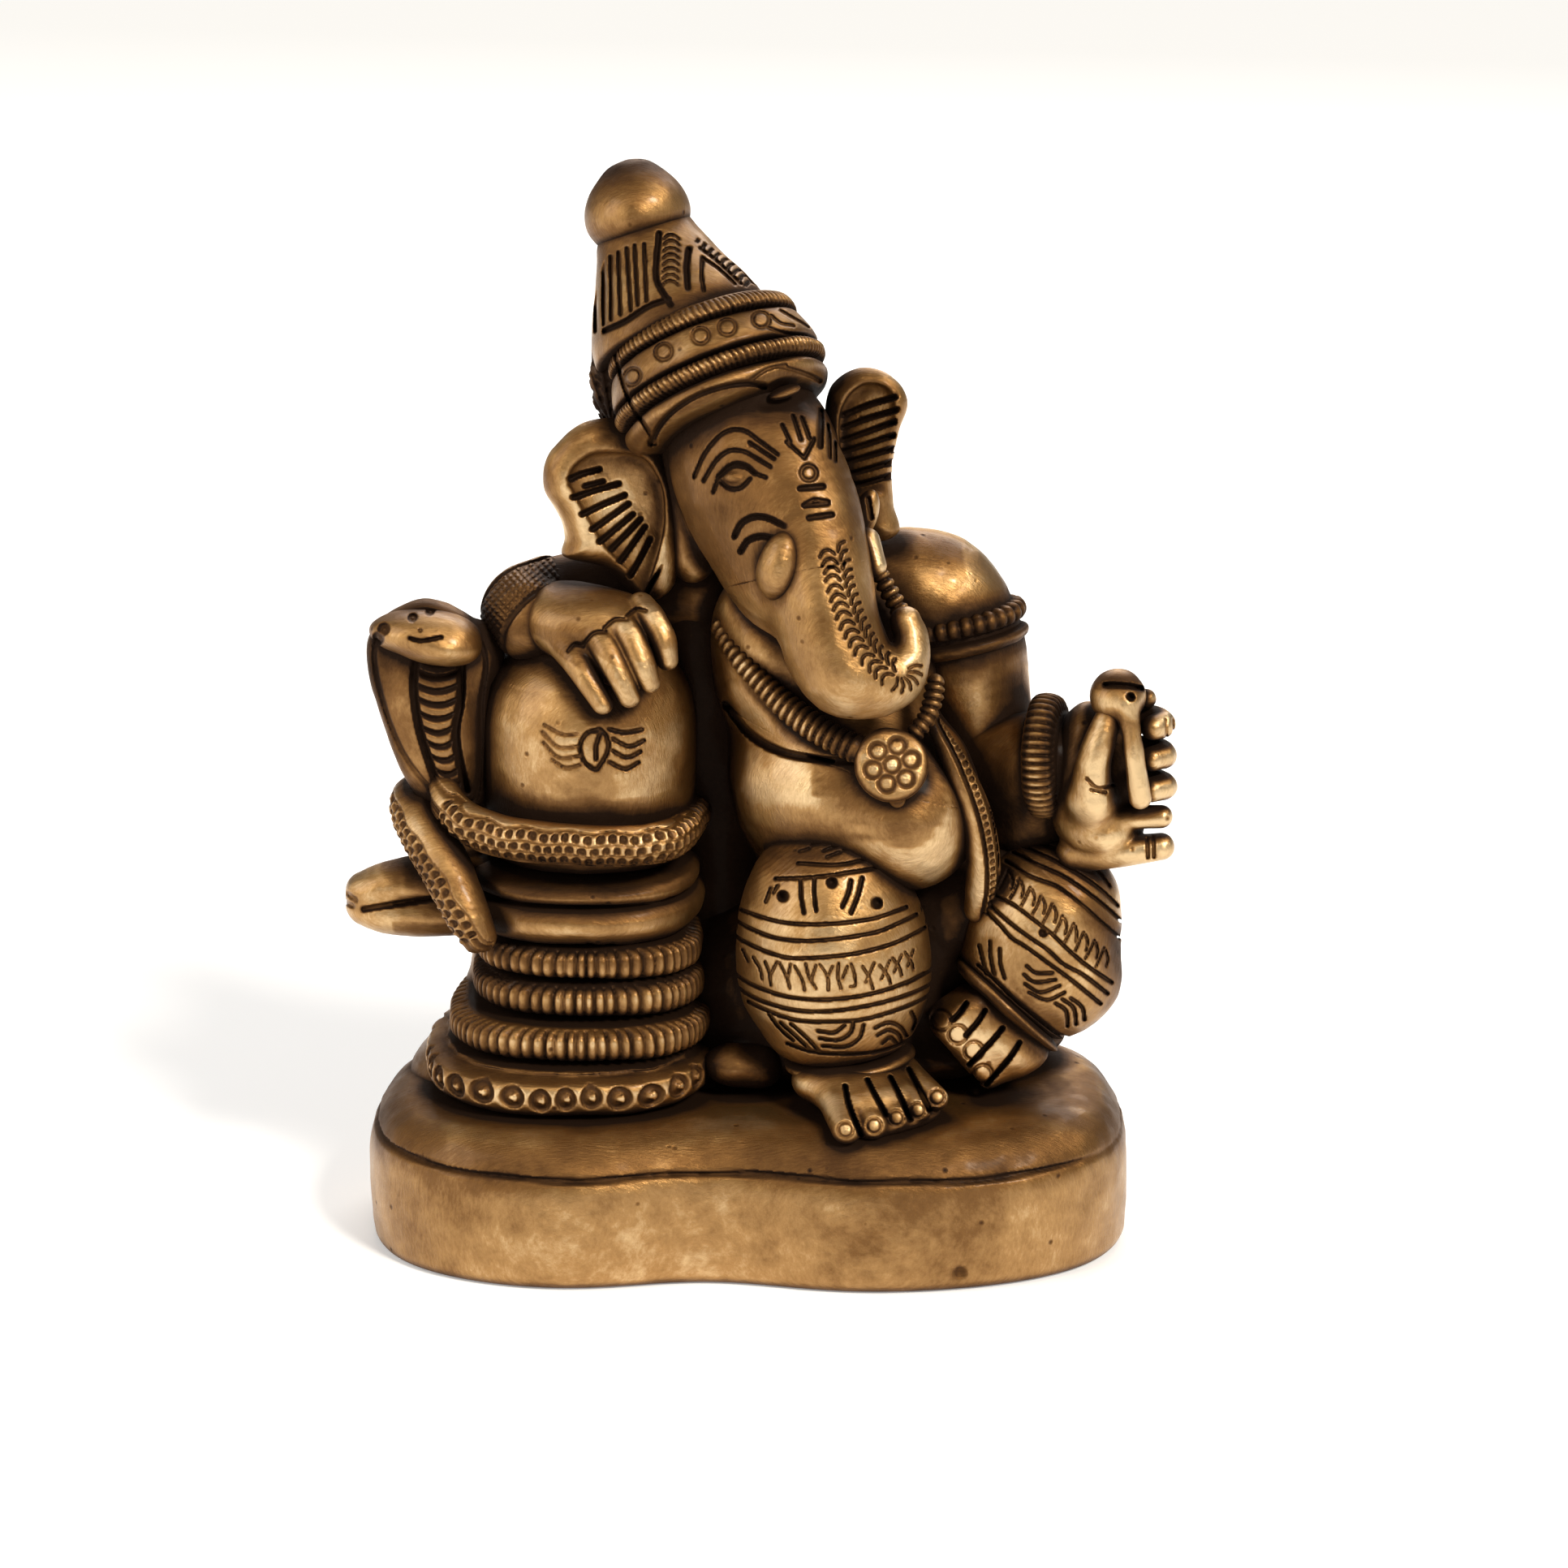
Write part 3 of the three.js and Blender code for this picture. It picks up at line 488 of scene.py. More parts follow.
FOOT_RIGHT_SLOTS = [
    [(11.3, 16.4), (11.8, 14.1), (13.1, 11.0)], [(13.9, 17.1), (14.8, 15.4), (16.0, 13.2)],
    [(16.6, 17.3), (17.6, 15.4), (18.8, 12.6)], [(18.8, 18.1), (20.0, 15.9), (21.1, 13.6)],
]
FOOT_RIGHT_NAILS = [(11.3, 11.7), (14.6, 12.1), (17.2, 12.9), (19.7, 13.7), (22.0, 15.1)]
EAR_RIGHT_GROOVES = [
    [(-20.4, 86.7), (-19.2, 87.3), (-17.1, 87.9)], [(-18.8, 85.9), (-16.7, 86.5)],
    [(-20.2, 84.5), (-17.9, 85.4), (-14.9, 86.3)], [(-19.2, 82.6), (-16.9, 83.8), (-14.2, 85.0)],
    [(-18.0, 80.9), (-16.0, 82.4), (-13.8, 84.0)], [(-17.2, 79.5), (-15.2, 81.2), (-13.3, 82.8)],
    [(-15.8, 78.8), (-14.1, 80.5), (-12.4, 82.3)], [(-14.8, 77.4), (-13.4, 79.3), (-11.9, 81.4)],
    [(-13.7, 75.7), (-12.5, 77.7), (-11.3, 80.0)], [(-11.9, 73.5), (-10.8, 75.3), (-9.8, 76.7)],
]
EAR_RIGHT_HOLLOW = [
    (-20.9, 85.9), (-20.3, 88.1), (-17.4, 90.0), (-13.2, 89.9), (-10.8, 88.4), (-9.3, 84.8), (-9.4, 80.1),
    (-10.8, 75.0), (-12.2, 72.8), (-13.9, 75.7), (-16.9, 79.0), (-18.0, 80.6), (-19.4, 82.9), (-20.5, 85.2),
]
EAR_RIGHT_OUTLINE = [
    (-9.4, 89.5), (-11.3, 92.8), (-15.1, 93.6), (-18.3, 93.3), (-20.7, 92.2), (-22.5, 90.5), (-23.6, 88.6),
    (-23.8, 86.7), (-23.5, 85.2), (-22.5, 83.7), (-21.6, 82.0), (-21.3, 80.1), (-21.6, 77.9), (-16.9, 76.4),
    (-12.2, 72.7), (-8.5, 74.5), (-7.6, 82.0),
]
EAR_LEFT_GROOVES = [
    [(11.1, 94.1), (13.9, 95.2), (17.1, 96.0)], [(11.1, 92.7), (13.9, 93.7), (17.5, 94.6)],
    [(11.1, 91.3), (13.9, 92.2), (16.9, 93.2)], [(11.1, 90.0), (13.9, 90.8), (16.8, 91.7)],
    [(11.2, 88.7), (13.9, 89.4), (16.7, 90.2)], [(11.3, 87.3), (13.9, 87.9), (16.6, 88.7)],
    [(11.5, 86.0), (13.9, 86.4), (16.6, 87.2)],
]
EAR_LEFT_HOLLOW = [
    (10.2, 93.3), (11.1, 96.0), (13.2, 97.7), (15.6, 97.5), (17.0, 96.0), (17.1, 93.3), (16.7, 89.6),
    (16.6, 85.3), (13.9, 84.7), (11.6, 84.9), (10.6, 88.7),
]
DOME_LEAF = [
    [(-17.0, 57.9), (-18.5, 57.4), (-19.3, 56.0), (-18.9, 54.2), (-17.7, 53.2)],
    [(-17.0, 57.9), (-16.2, 56.9), (-16.2, 55.2), (-17.4, 53.2)],
    [(-17.0, 57.4), (-17.5, 55.8), (-17.5, 54.4)],
]
DOME_FEATHERS = [
    [(-23.5, 58.4), (-21.4, 57.3), (-19.6, 57.3)], [(-23.7, 57.6), (-21.8, 55.8), (-19.4, 55.9)],
    [(-23.6, 56.4), (-21.8, 54.6), (-19.3, 54.8)], [(-22.6, 54.4), (-21.0, 53.4), (-19.2, 53.8)],
]
DOME_PETALS = [
    [(-16.0, 57.9), (-14.1, 57.5), (-12.2, 57.9)], [(-15.6, 56.8), (-13.7, 55.9), (-12.0, 56.6)],
    [(-15.6, 55.4), (-14.0, 54.6), (-12.4, 55.3)], [(-16.0, 54.1), (-14.2, 53.3), (-12.6, 54.1)],
]


# ---- The idol's main measures, as in the CAD ----
WAIST_X, WAIST_DEPTH, WAIST_SPREAD = -5.0, 0.15, 13.0
HALF_WIDTH, HALF_DEPTH, PLINTH_TOP, GROOVE_Z = 45.0, 24.6, 17.2, 12.9


def chart_cut(groups, until, rings=()):
    """Engraves strokes on the drawing plane: groups of (depth, width, lines), and rings of
    (depth, radius, width, centres), on what lies in front of y = until."""

    def cut(x, y, z):
        out = np.zeros(x.shape, dtype=np.float32)
        front = np.nonzero(y < until)[0]
        u, v = drawing(x[front], y[front], z[front])
        marks = np.zeros(u.shape, dtype=np.float32)
        for depth, width, lines in groups:
            marks = np.maximum(marks, depth * strokes(u, v, lines, width, curved=True))
        for depth, radius, width, centres in rings:
            marks = np.maximum(marks, depth * punched(u, v, centres, radius, width))
        out[front] = marks
        return out

    return cut


LINGA = (-18.9, 4.0)
CROWN_BASE = np.array([-1.97, 1.0, 97.8])
CROWN_AXIS = np.array([-0.342, 0.443, 0.829])

PIECES = {}


def piece(step=MEDIUM, slot="brass_polished"):
    """Marks a function that gives a piece's steps, (what, solid, blend) each, and its engravings."""

    def add(function):
        PIECES[function.__name__] = (function, step, slot)
        return function

    return add


# ---- Plinth ----


def plinth_side(x, y, inset=0.0):
    """The distance out from the plinth's upright side: a squarish oval with a pinched waist."""
    power = 2.78
    pinch = 1 - WAIST_DEPTH * np.exp(-(((x - WAIST_X) / WAIST_SPREAD) ** 2))
    a, b = HALF_WIDTH - inset, HALF_DEPTH * pinch - inset
    size = (np.abs(x / a) ** power + np.abs(y / b) ** power + 1e-9) ** (1 / power)
    slope = np.hypot((np.abs(x / a) / size) ** (power - 1) / a, (np.abs(y / b) / size) ** (power - 1) / b)
    return ((size - 1) / slope).astype(np.float32)


@piece(step=BROAD * 0.8)
def base_plinth():
    def block(x, y, z):
        side = plinth_side(x, y) - 0.25 * np.sin((z - 1) * 0.26)
        top = z - PLINTH_TOP - 0.5 * np.exp(-((x - 22) ** 2 + (y - 2) ** 2) / 300)
        return smooth_max(smooth_max(side, top, 7.5), BOTTOM - z, 1.6)

    def core(x, y, z):
        return smooth_max(plinth_side(x, y, 4.0), z - 12.5, 3)

    def groove(x, y, z):
        wander = GROOVE_Z + 0.16 * np.sin(x * 0.13 + 1) + 0.1 * np.sin(x * 0.41)
        fade = 1 - 0.7 * step_up(x, 34, 42) * (y < 0)
        nick = 0.4 * ridge(np.hypot(x - 24.6, z - 1.6), 0.9) * (y < 0)
        return (0.5 * ridge(z - wander, 0.36) * fade + nick) * (plinth_side(x, y) > -2.5)

    box = (-HALF_WIDTH - 1, -HALF_DEPTH - 1, BOTTOM - 1), (HALF_WIDTH + 1, HALF_DEPTH + 1, PLINTH_TOP + 1)
    return [("add", Solid(*box, block), 0), ("cut", Solid((-46, -25, -3), (46, 25, 13), core), 0)], [groove]


@piece(step=BROAD * 0.8)
def pedestal_mound():
    profile = [
        (14, 21.6), (17.2, 20.6), (19.6, 18.8), (22, 16.8), (25.5, 14.6), (29.5, 13.2), (34, 12.4),
        (38.4, 12),
    ]
    return [("add", vase(profile, (LINGA[0] - 1.2, LINGA[1] + 2.2, 0), squash=0.72), 0)], []


# ---- The rings of the pedestal ----
RING_TILT = (0.01, -0.04, 1)


def ring_form(low, high, radius, centre_x, front_y, bulge=0.7, squash=0.72, behind=1.12):
    height = high - low
    profile = [
        (low, radius - bulge * 1.5), (low + height * 0.2, radius - bulge * 0.35),
        (low + height * 0.5, radius), (low + height * 0.8, radius - bulge * 0.35),
        (high, radius - bulge * 1.5),
    ]
    centre = (centre_x, front_y + radius * squash, 0)
    ring = vase(profile, centre, RING_TILT, squash=squash, rounding=1.2, power=2.4, behind=behind)
    matrix = axes_along(RING_TILT)

    def around(x, y, z):
        """The angle from the front and the height, and the distance from the axis."""
        a, b, h = seen_from(matrix, centre, x, y, z)
        b = b / np.where(b < 0, squash, behind)
        return np.arctan2(a, -b), h, (np.abs(a) ** 2.4 + np.abs(b) ** 2.4) ** (1 / 2.4)

    return ring, around


def reeds(count, depth, low, high):
    """Reeding round a ring: narrow hollows between its upright reeds, some struck less deep than others."""

    def cut(angle, height):
        phase = angle * count / (2 * np.pi) + 0.14 * np.sin(angle * 7) + 0.05 * np.sin(angle * 31)
        hollow = off_centre(phase) ** 2.6
        which = np.round(phase)
        uneven = 0.82 + 0.18 * np.sin(which * 2.4) * np.sin(which * 0.71)
        band = step_up(height, low, low + 0.7) * step_up(height, high, high - 0.7)
        return depth * hollow * band * uneven

    return cut


def reeded_ring(low, high, radius, count, centre_x, front_y):
    ring, around = ring_form(low, high, radius, centre_x, front_y)
    reeding = reeds(count, 0.6, low, high)

    def cut(x, y, z):
        angle, height, r = around(x, y, z)
        return reeding(angle, height) * (r > radius - 2.2)

    return [("add", ring, 0)], [cut]


@piece(slot="brass_aged")
def reeded_ring_lower():
    return reeded_ring(23.6, 27.9, 15.5, 72, -20.3, -11.6)


@piece(slot="brass_aged")
def reeded_ring_middle():
    return reeded_ring(28.4, 32.6, 13.8, 64, -19.4, -9.4)


@piece(slot="brass_aged")
def reeded_ring_upper():
    return reeded_ring(32.9, 36.9, 13.4, 62, -19.2, -8.8)


@piece()
def bead_ring():
    radius = 17.4
    ring, around = ring_form(17.6, 23.4, radius, -21.4, -14.6, bulge=1.6, squash=0.9, behind=0.96)

    def cut(x, y, z):
        angle, height, r = around(x, y, z)
        pitch = 2 * np.pi / 32
        phase = angle / pitch + 0.16 * np.sin(angle * 5)
        which = np.round(phase)
        across = (phase - which) * pitch * radius
        up = height - 20.7 - 0.22 * np.sin(which * 1.7)
        off = np.hypot(across, up)
        struck = np.maximum(ridge(off - 1.05, 0.45), 0.8 * ridge(off - 0.75, 0.5) * (across < 0.2))
        return (0.52 * struck + 0.35 * ridge(height - 22.6, 0.5)) * (r > radius - 3)

    return [("add", ring, 0)], [cut]


# ---- Yoni, linga and cobra ----


@piece()
def yoni_plate():
    base = (-20.0, 4.0, 0)
    tier = [(36.8, 10.8), (37.3, 12.6), (38.6, 14.0), (40.2, 14.4), (41.4, 13.8), (42.0, 12.8)]
    lip = [(41.9, 11.8), (42.6, 13.4), (43.4, 13.8), (44.2, 13.0), (44.9, 11.0)]
    forms = [vase(profile, base, RING_TILT, squash=0.88, power=2.3, behind=1.0) for profile in (tier, lip)]
    dents = [[(-18.6, 32.9), (-17.2, 32.2), (-15.8, 32.8)], [(-28.2, 33.0), (-26.0, 32.5)]]
    return [("add", forms[0], 0), ("add", forms[1], 0.3)], [chart_cut([(0.14, 0.5, dents)], -6)]


@piece()
def yoni_spout():
    lower = limb(
        [(-28, 1, 38.6, 3.2), (-37, 0.6, 38.3, 3.4), (-42.6, 0.4, 38.6, 3.2), (-45, 0.4, 38.9, 2.6)],
        (1, 1.15, 0.95),
    )
    upper = limb(
        [(-28, 1, 42.0, 3.0), (-36, 0.6, 42.2, 3.1), (-42.4, 0.4, 41.6, 2.8), (-45.2, 0.4, 40.8, 2.4)],
        (1, 1.2, 0.9),
    )
    line = [(-30, 38.9), (-36, 38.3), (-41, 37.5), (-45.3, 36.8)]
    chips = [[(-47.2, 38.6), (-46.2, 37.9)], [(-47.6, 37.6), (-46.6, 37.2)]]
    return [("add", lower, 0), ("add", upper, 0.7)], [
        chart_cut([(0.5, 0.45, [line]), (0.25, 0.4, chips)], 1),
    ]


@piece()
def linga_dome():
    profile = [
        (44.3, 10.4), (45.2, 11.7), (47.6, 12.5), (52.0, 12.8), (57.8, 12.9), (62.4, 12.7), (66.4, 11.4),
        (69.4, 8.9), (71.6, 5.6), (72.6, 2.8), (72.9, 0.1),
    ]
    cut = chart_cut(
        [(0.5, 0.3, DOME_LEAF), (0.3, 0.22, DOME_FEATHERS), (0.45, 0.28, DOME_PETALS)], LINGA[1] - 2,
    )
    return [("add", vase(profile, (*LINGA, 0), squash=0.95, rounding=1.4), 0)], [cut]


def scales_along(path, pitch, rows, wide, depth=0.42):
    """Rows of crescent punch marks along a path's outer face."""
    path = curve_through(path, 6)[:, :3]

    def cut(x, y, z):
        along, away, ahead = nearest_on(path, x, y, z)
        outward = np.stack([x - LINGA[0], y - LINGA[1], np.zeros_like(x)])
        outward /= np.linalg.norm(outward, axis=0)
        side = np.cross(ahead, outward, axis=0)
        side /= np.maximum(np.linalg.norm(side, axis=0), 1e-6)
        w = (away * side).sum(0) + 0.12 * np.sin(along * 1.3)
        facing = (away * outward).sum(0) > -0.3
        row = np.clip(np.round(w / wide), -(rows // 2), rows // 2)
        across = w / wide - row
        shift = along / pitch + 0.5 * (row % 2) + 0.1 * np.sin(along * 0.9 + row)
        ahead_of = shift - np.round(shift)
        dot = ridge(np.hypot(ahead_of * pitch, across * wide) - 0.22, 0.36) * step_up(ahead_of, 0.42, 0.05)
        seam = 0.5 * ridge(np.abs(across) - 0.5, 0.16)
        return depth * np.maximum(dot, seam) * facing * (np.abs(w) < wide * (rows / 2 + 0.2))

    return cut


COBRA_COIL = [
    (-35.8, -2.0, 54.4, 1.8), (-34.6, -4.4, 52.4, 2.2), (-31.6, -6.9, 50.8, 2.4), (-26.6, -8.9, 49.9, 2.5),
    (-19, -10.0, 49.5, 2.5), (-13.0, -9.4, 49.3, 2.4), (-9.4, -6.8, 49.2, 2.3), (-7.4, -1.6, 49.3, 2.2),
    (-6.6, 7.0, 49.6, 2.3), (-10.6, 15.0, 49.6, 2.3), (-20, 18.0, 49.6, 2.3), (-30, 15.6, 49.6, 2.3),
    (-36.4, 9.6, 50.0, 2.3),
]
COBRA_TAIL = [
    (-36.6, 9.6, 50.0, 2.2), (-38.9, 4.6, 51.2, 2.7), (-39.3, 0.4, 50.9, 3.0), (-37.2, -3.8, 48.4, 3.1),
    (-34.7, -7.2, 44.8, 2.9), (-32.8, -9.2, 41.2, 2.6), (-31.4, -9.8, 38.4, 2.1),
]


@piece(step=FINE, slot="brass_aged")
def cobra_coil():
    return [("add", limb(COBRA_COIL), 0)], [scales_along(COBRA_COIL[1:-2], 1.25, 3, 1.3)]


@piece(step=FINE, slot="brass_aged")
def cobra_tail():
    filler = ball((-34.2, 2.4, 45.6), (2.6, 2.4, 3.2))
    scales = scales_along(COBRA_TAIL[1:], 1.2, 3, 1.15)
    return [("add", limb(COBRA_TAIL), 0), ("add", filler, 1.0)], [scales]


HOOD = [
    (-36.8, 76.2), (-41.2, 75.0), (-44.0, 72.2), (-44.4, 68.6), (-43.4, 63.8), (-41.6, 58.8), (-39.0, 54.8),
    (-36.0, 52.0), (-31.4, 51.6), (-30.4, 58.6), (-30.2, 64.2), (-29.6, 69.4), (-31.4, 73.4),
]


@piece(step=FINE, slot="brass_aged")
def cobra_hood():
    flank = plate(HOOD, 0.4, 4.6, turn=4, rounding=2.2)
    swell = ball((-37.0, -1.4, 61.6), (4.6, 2.4, 10.6), (0, -8, 0))
    webs = [ball((-30.8, 1.8, 69.6), (2.4, 2.2, 3.4)), ball((-30.8, 2.6, 52.4), (2.4, 2.6, 3.6))]
    left_edge = [(-38.4, 66.2), (-38.7, 62.6), (-38.2, 58.2), (-37.1, 54.2), (-35.9, 50.4)]
    right_edge = [(-33.2, 66.2), (-33.4, 61.2), (-34.0, 57.0), (-33.0, 50.8)]

    def cut(x, y, z):
        u, v = drawing(x, y, z)
        front = y < 0.5
        edges = 0.9 * strokes(u, v, [left_edge, right_edge], 0.6, curved=True)
        left, right = (np.interp(v, *np.array(edge[::-1]).T[::-1]) for edge in (left_edge, right_edge))
        middle, half = (left + right) / 2, (right - left) / 2 - 0.35
        share = (u - middle) / half
        phase = (v + 0.7 * (1 - share**2) - 50.4) / 1.62
        sag = phase - np.floor(phase)
        ladder = 0.6 * step_up(sag, 0.4, 0.95) * (1 - step_up(sag, 0.95, 1.0)) * (np.abs(share) < 1)
        ladder = ladder * (v > 49.8) * (v < 66.6)
        rim = 0.25 * ridge(flank.edge(x, y, z) + 1.0, 0.35)
        return np.maximum(np.maximum(edges, ladder), rim) * front

    return [("add", flank, 0), ("add", swell, 2.0), *(("add", web, 1.5) for web in webs)], [cut]


@piece(step=FINE)
def cobra_head():
    skull = ball((-37.4, -1.6, 72.6), (6.6, 4.8, 2.9), (-10, 4, 0))
    snout = ball((-35.4, -3.6, 71.6), (4.4, 3.4, 2.2), (-10, 6, 0))
    eyes = [(-36.7, 71.5), (-38.6, 70.7)]
    pits = [(-41.9, 69.4), (-42.6, 68.4)]
    mouth = [[(-38.8, 68.3), (-37.4, 68.0), (-35.2, 68.4)]]
    cut = chart_cut(
        [(0.55, 0.3, mouth)], 0,
        [(0.4, 0.3, 0.28, eyes), (0.5, 0.3, 0.5, pits), (0.3, 0.0, 0.28, [(-37.6, 69.2)])],
    )
    return [("add", skull, 0), ("add", snout, 1.5)], [cut]


@piece(step=MEDIUM * 1.3, slot="brass_aged")
def joining_web():
    core = limb(
        [(-1.8, 8.6, 18, 6.4), (-2.4, 8.8, 30, 6.2), (-3.4, 9.4, 48, 6.0), (-5.0, 10.4, 72, 5.8)],
        (1, 0.95, 1), spans=3,
    )
    edge = limb([(-6.6, 6.6, 50, 2.2), (-6.0, 6.4, 60, 2.4), (-6.4, 6.6, 68, 2.4), (-7.6, 7.4, 75, 2.2)])
    return [("add", core, 0), ("add", edge, 2.0)], []


@piece()
def offering():
    block = ball((-1.4, -5.4, 20.8), (4.0, 3.0, 2.7), (0, 4, 0))
    side = ball((1.6, -5.0, 20.4), (2.6, 2.8, 2.6))
    return [("add", block, 0), ("add", side, 1.4)], []


# ---- Head and trunk ----
# They are one flowing form, which the two pieces share out at a plane across the trunk's root.
TRUNK = [
    (5.6, -5.6, 95.4, 4.2), (6.8, -6.8, 89.7, 5.6), (8.2, -9.2, 83.3, 5.8), (9.1, -11.2, 77.0, 6.0),
    (10.9, -12.4, 72.2, 5.9), (13.4, -12.8, 70.7, 4.9), (16.2, -12.6, 70.6, 3.9), (18.2, -12.2, 72.4, 2.7),
    (18.6, -11.4, 74.6, 2.1), (18.0, -10.8, 76.4, 1.9),
]
TRUNK_ROOT = ((7.8, -9, 82), (0.17, -0.3, -0.95))
SEAM = 0.1  # how far two pieces of one form run past the plane between them


def one_side(plane, side):
    """Keeps what lies behind a plane (point, outward), or in front of it if side is -1, and SEAM more."""
    point, outward = (np.array(p, dtype=float) for p in plane)
    return "keep", half_space(point + side * outward * SEAM, side * outward), 0


def head_and_trunk():
    """The steps of the head and trunk as one form."""
    return [
        ("add", ball((0.9, 0.8, 92.4), (9.9, 11, 12.4), (-12, -17, 0)), 0),
        ("add", ball((3.9, -2.6, 84.4), (8.0, 9.0, 10), (0, -18, 0)), 5),
        ("add", ball((3.6, -4.8, 79.8), (5.0, 6.6, 6.6), (0, -30, 0)), 3), ("add", limb(TRUNK), 3.2),
    ]


def face_lines():
    """The strokes round the eye and on the brow, and the folds over the tusk, by how they were struck."""
    fine = [
        [(-6.0, 86.4), (-4.6, 89.2), (-2.5, 91.3), (-0.4, 91.5), (1.5, 90.2), (3.5, 88.7)],
        [(0.3, 90.1), (3.1, 88.2)],
        [(-4.9, 85.9), (-3.4, 88.2), (-1.9, 89.2), (-0.4, 89.1), (0.6, 88.6), (2.7, 87.3)],
        [(-3.8, 84.6), (-2.9, 86.6), (-1.5, 87.7), (0.0, 87.5), (1.0, 86.6), (2.2, 86.1)],
        [(-3.0, 85.8), (-2.0, 85.0), (-0.7, 85.0), (0.4, 86.0)],
    ]
    bold = [
        [(4.0, 92.1), (4.9, 90.1)], [(5.2, 93.2), (6.1, 90.4)], [(6.2, 93.0), (7.1, 90.5)],
        [(4.5, 90.1), (6.5, 88.3), (7.6, 90.5)], [(9.2, 92.6), (9.4, 88.5)], [(10.0, 90.4), (10.0, 88.1)],
        [(6.6, 83.1), (7.6, 83.6), (9.2, 83.4)],
    ]
    broad = [
        [(8.4, 94.3), (8.3, 89.7)], [(6.0, 84.8), (8.6, 85.1)], [(6.5, 82.9), (9.1, 83.2)],
        [(7.0, 81.5), (9.6, 81.9)],
    ]
    lids = [[(-3.2, 86.3), (-1.6, 87.5), (0.0, 87.3), (0.9, 86.6)]]
    crescents = [
        [(-1.4, 79.6), (-0.6, 81.0), (0.8, 81.7), (2.5, 81.5), (4.2, 80.6)],
        [(-0.7, 77.9), (0.2, 79.1), (1.7, 79.5), (3.1, 79.1)],
    ]
    return fine, bold, broad, lids, crescents


HERRINGBONE_MARKS = (
    ((0.25, 0.35), (0.7, -0.25), (1.4, -0.32), (2.0, 0.25)), ((-0.15, 0.2), (-0.6, -0.62), (-1.2, -0.78)),
)


def herringbone(u, v):
    """Small curved strokes on both sides of a line, longer on its left, which end in a fan."""
    line = curve_through(SPINE, 8)
    gaps = np.linalg.norm(np.diff(line, axis=0), axis=1)
    run = np.concatenate([[0], np.cumsum(gaps)])

    def place_at(along):
        return np.array([np.interp(along, run, line[:, i]) for i in (0, 1)])

    marks = []
    for along in np.arange(0.2, run[-1], 1.02):
        at = place_at(along)
        down = place_at(along + 0.5) - place_at(along - 0.5)
        down /= np.linalg.norm(down)
        left = np.array([down[1], -down[0]])
        for mark in HERRINGBONE_MARKS:
            marks.append([tuple(at + left * out + down * on) for out, on in mark])
    for angle in np.radians([-12, 12, 38, 62, 88, 114]):
        way = np.array([math.cos(angle), -math.sin(angle)])
        across = np.array([-way[1], way[0]])
        start = line[-1] + np.array([0.5, 0.5])
        marks.append([tuple(start + way * r + across * b) for r, b in ((0.9, 0), (1.7, 0.22), (2.5, 0))])
    return strokes(u, v, marks, 0.2, curved=True)


def face_cut(x, y, z):
    u, v = drawing(x, y, z)
    front = (y < 1) & (v > 60)
    fine, bold, broad, lids, crescents = face_lines()
    out = 0.42 * strokes(u, v, fine, 0.28, curved=True)
    out = np.maximum(out, 0.45 * strokes(u, v, bold, 0.28))
    out = np.maximum(out, 0.55 * strokes(u, v, broad, 0.42))
    out = np.maximum(out, 0.6 * strokes(u, v, lids, 0.36, curved=True))
    out = np.maximum(out, 0.6 * strokes(u, v, crescents, 0.42, curved=True))
    out = np.maximum(out, 0.35 * punched(u, v, [(7.0, 86.6)], 0.85, 0.3))
    out = np.maximum(out, 0.32 * herringbone(u, v))
    return out * front


@piece(step=FINE)
def head():
    eyeball = ball((-1.3, -9.6, 93.1), (1.4, 1.0, 0.8))
    ear_root = limb([(-8.4, 3.0, 94, 2.0), (-7.4, 3.6, 88, 2.4), (-6.4, 3.4, 80, 2.4)])
    steps = [*head_and_trunk(), ("add", ear_root, 1.0), ("add", eyeball, 0.3), ("cut", GEM_BED, 0.4)]
    return [*steps, one_side(TRUNK_ROOT, 1)], [face_cut]


@piece(step=FINE)
def trunk():
    return [*head_and_trunk(), one_side(TRUNK_ROOT, -1)], [face_cut]


@piece(step=FINE)
def tusk_right():
    drop = limb(
        [(4.5, -12.2, 86.9, 0.9), (4.1, -12.6, 85.2, 2.1), (3.6, -12.5, 82.6, 2.6), (3.4, -11.8, 80.4, 1.5)]
    )
    return [("add", drop, 0)], []


@piece(step=FINE)
def tusk_left():
    return [("add", limb([(13.6, -7.6, 85.2, 1.5), (14.6, -9, 82.6, 1.3)]), 0)], []


@piece(step=FINE, slot="brass_aged")
def earring_left():
    drop = ball((13.4, -2.6, 86.9), (1.5, 1.5, 3.3), (0, 18, 0))

    def cut(x, y, z):
        u, v = drawing(x, y, z)
        return 0.5 * strokes(u, v, [[(12.2, 84.2), (13.0, 81.0)], [(13.8, 84.2), (14.2, 82.0)]], 0.35)

    return [("add", drop, 0)], [cut]


# ---- Ears ----


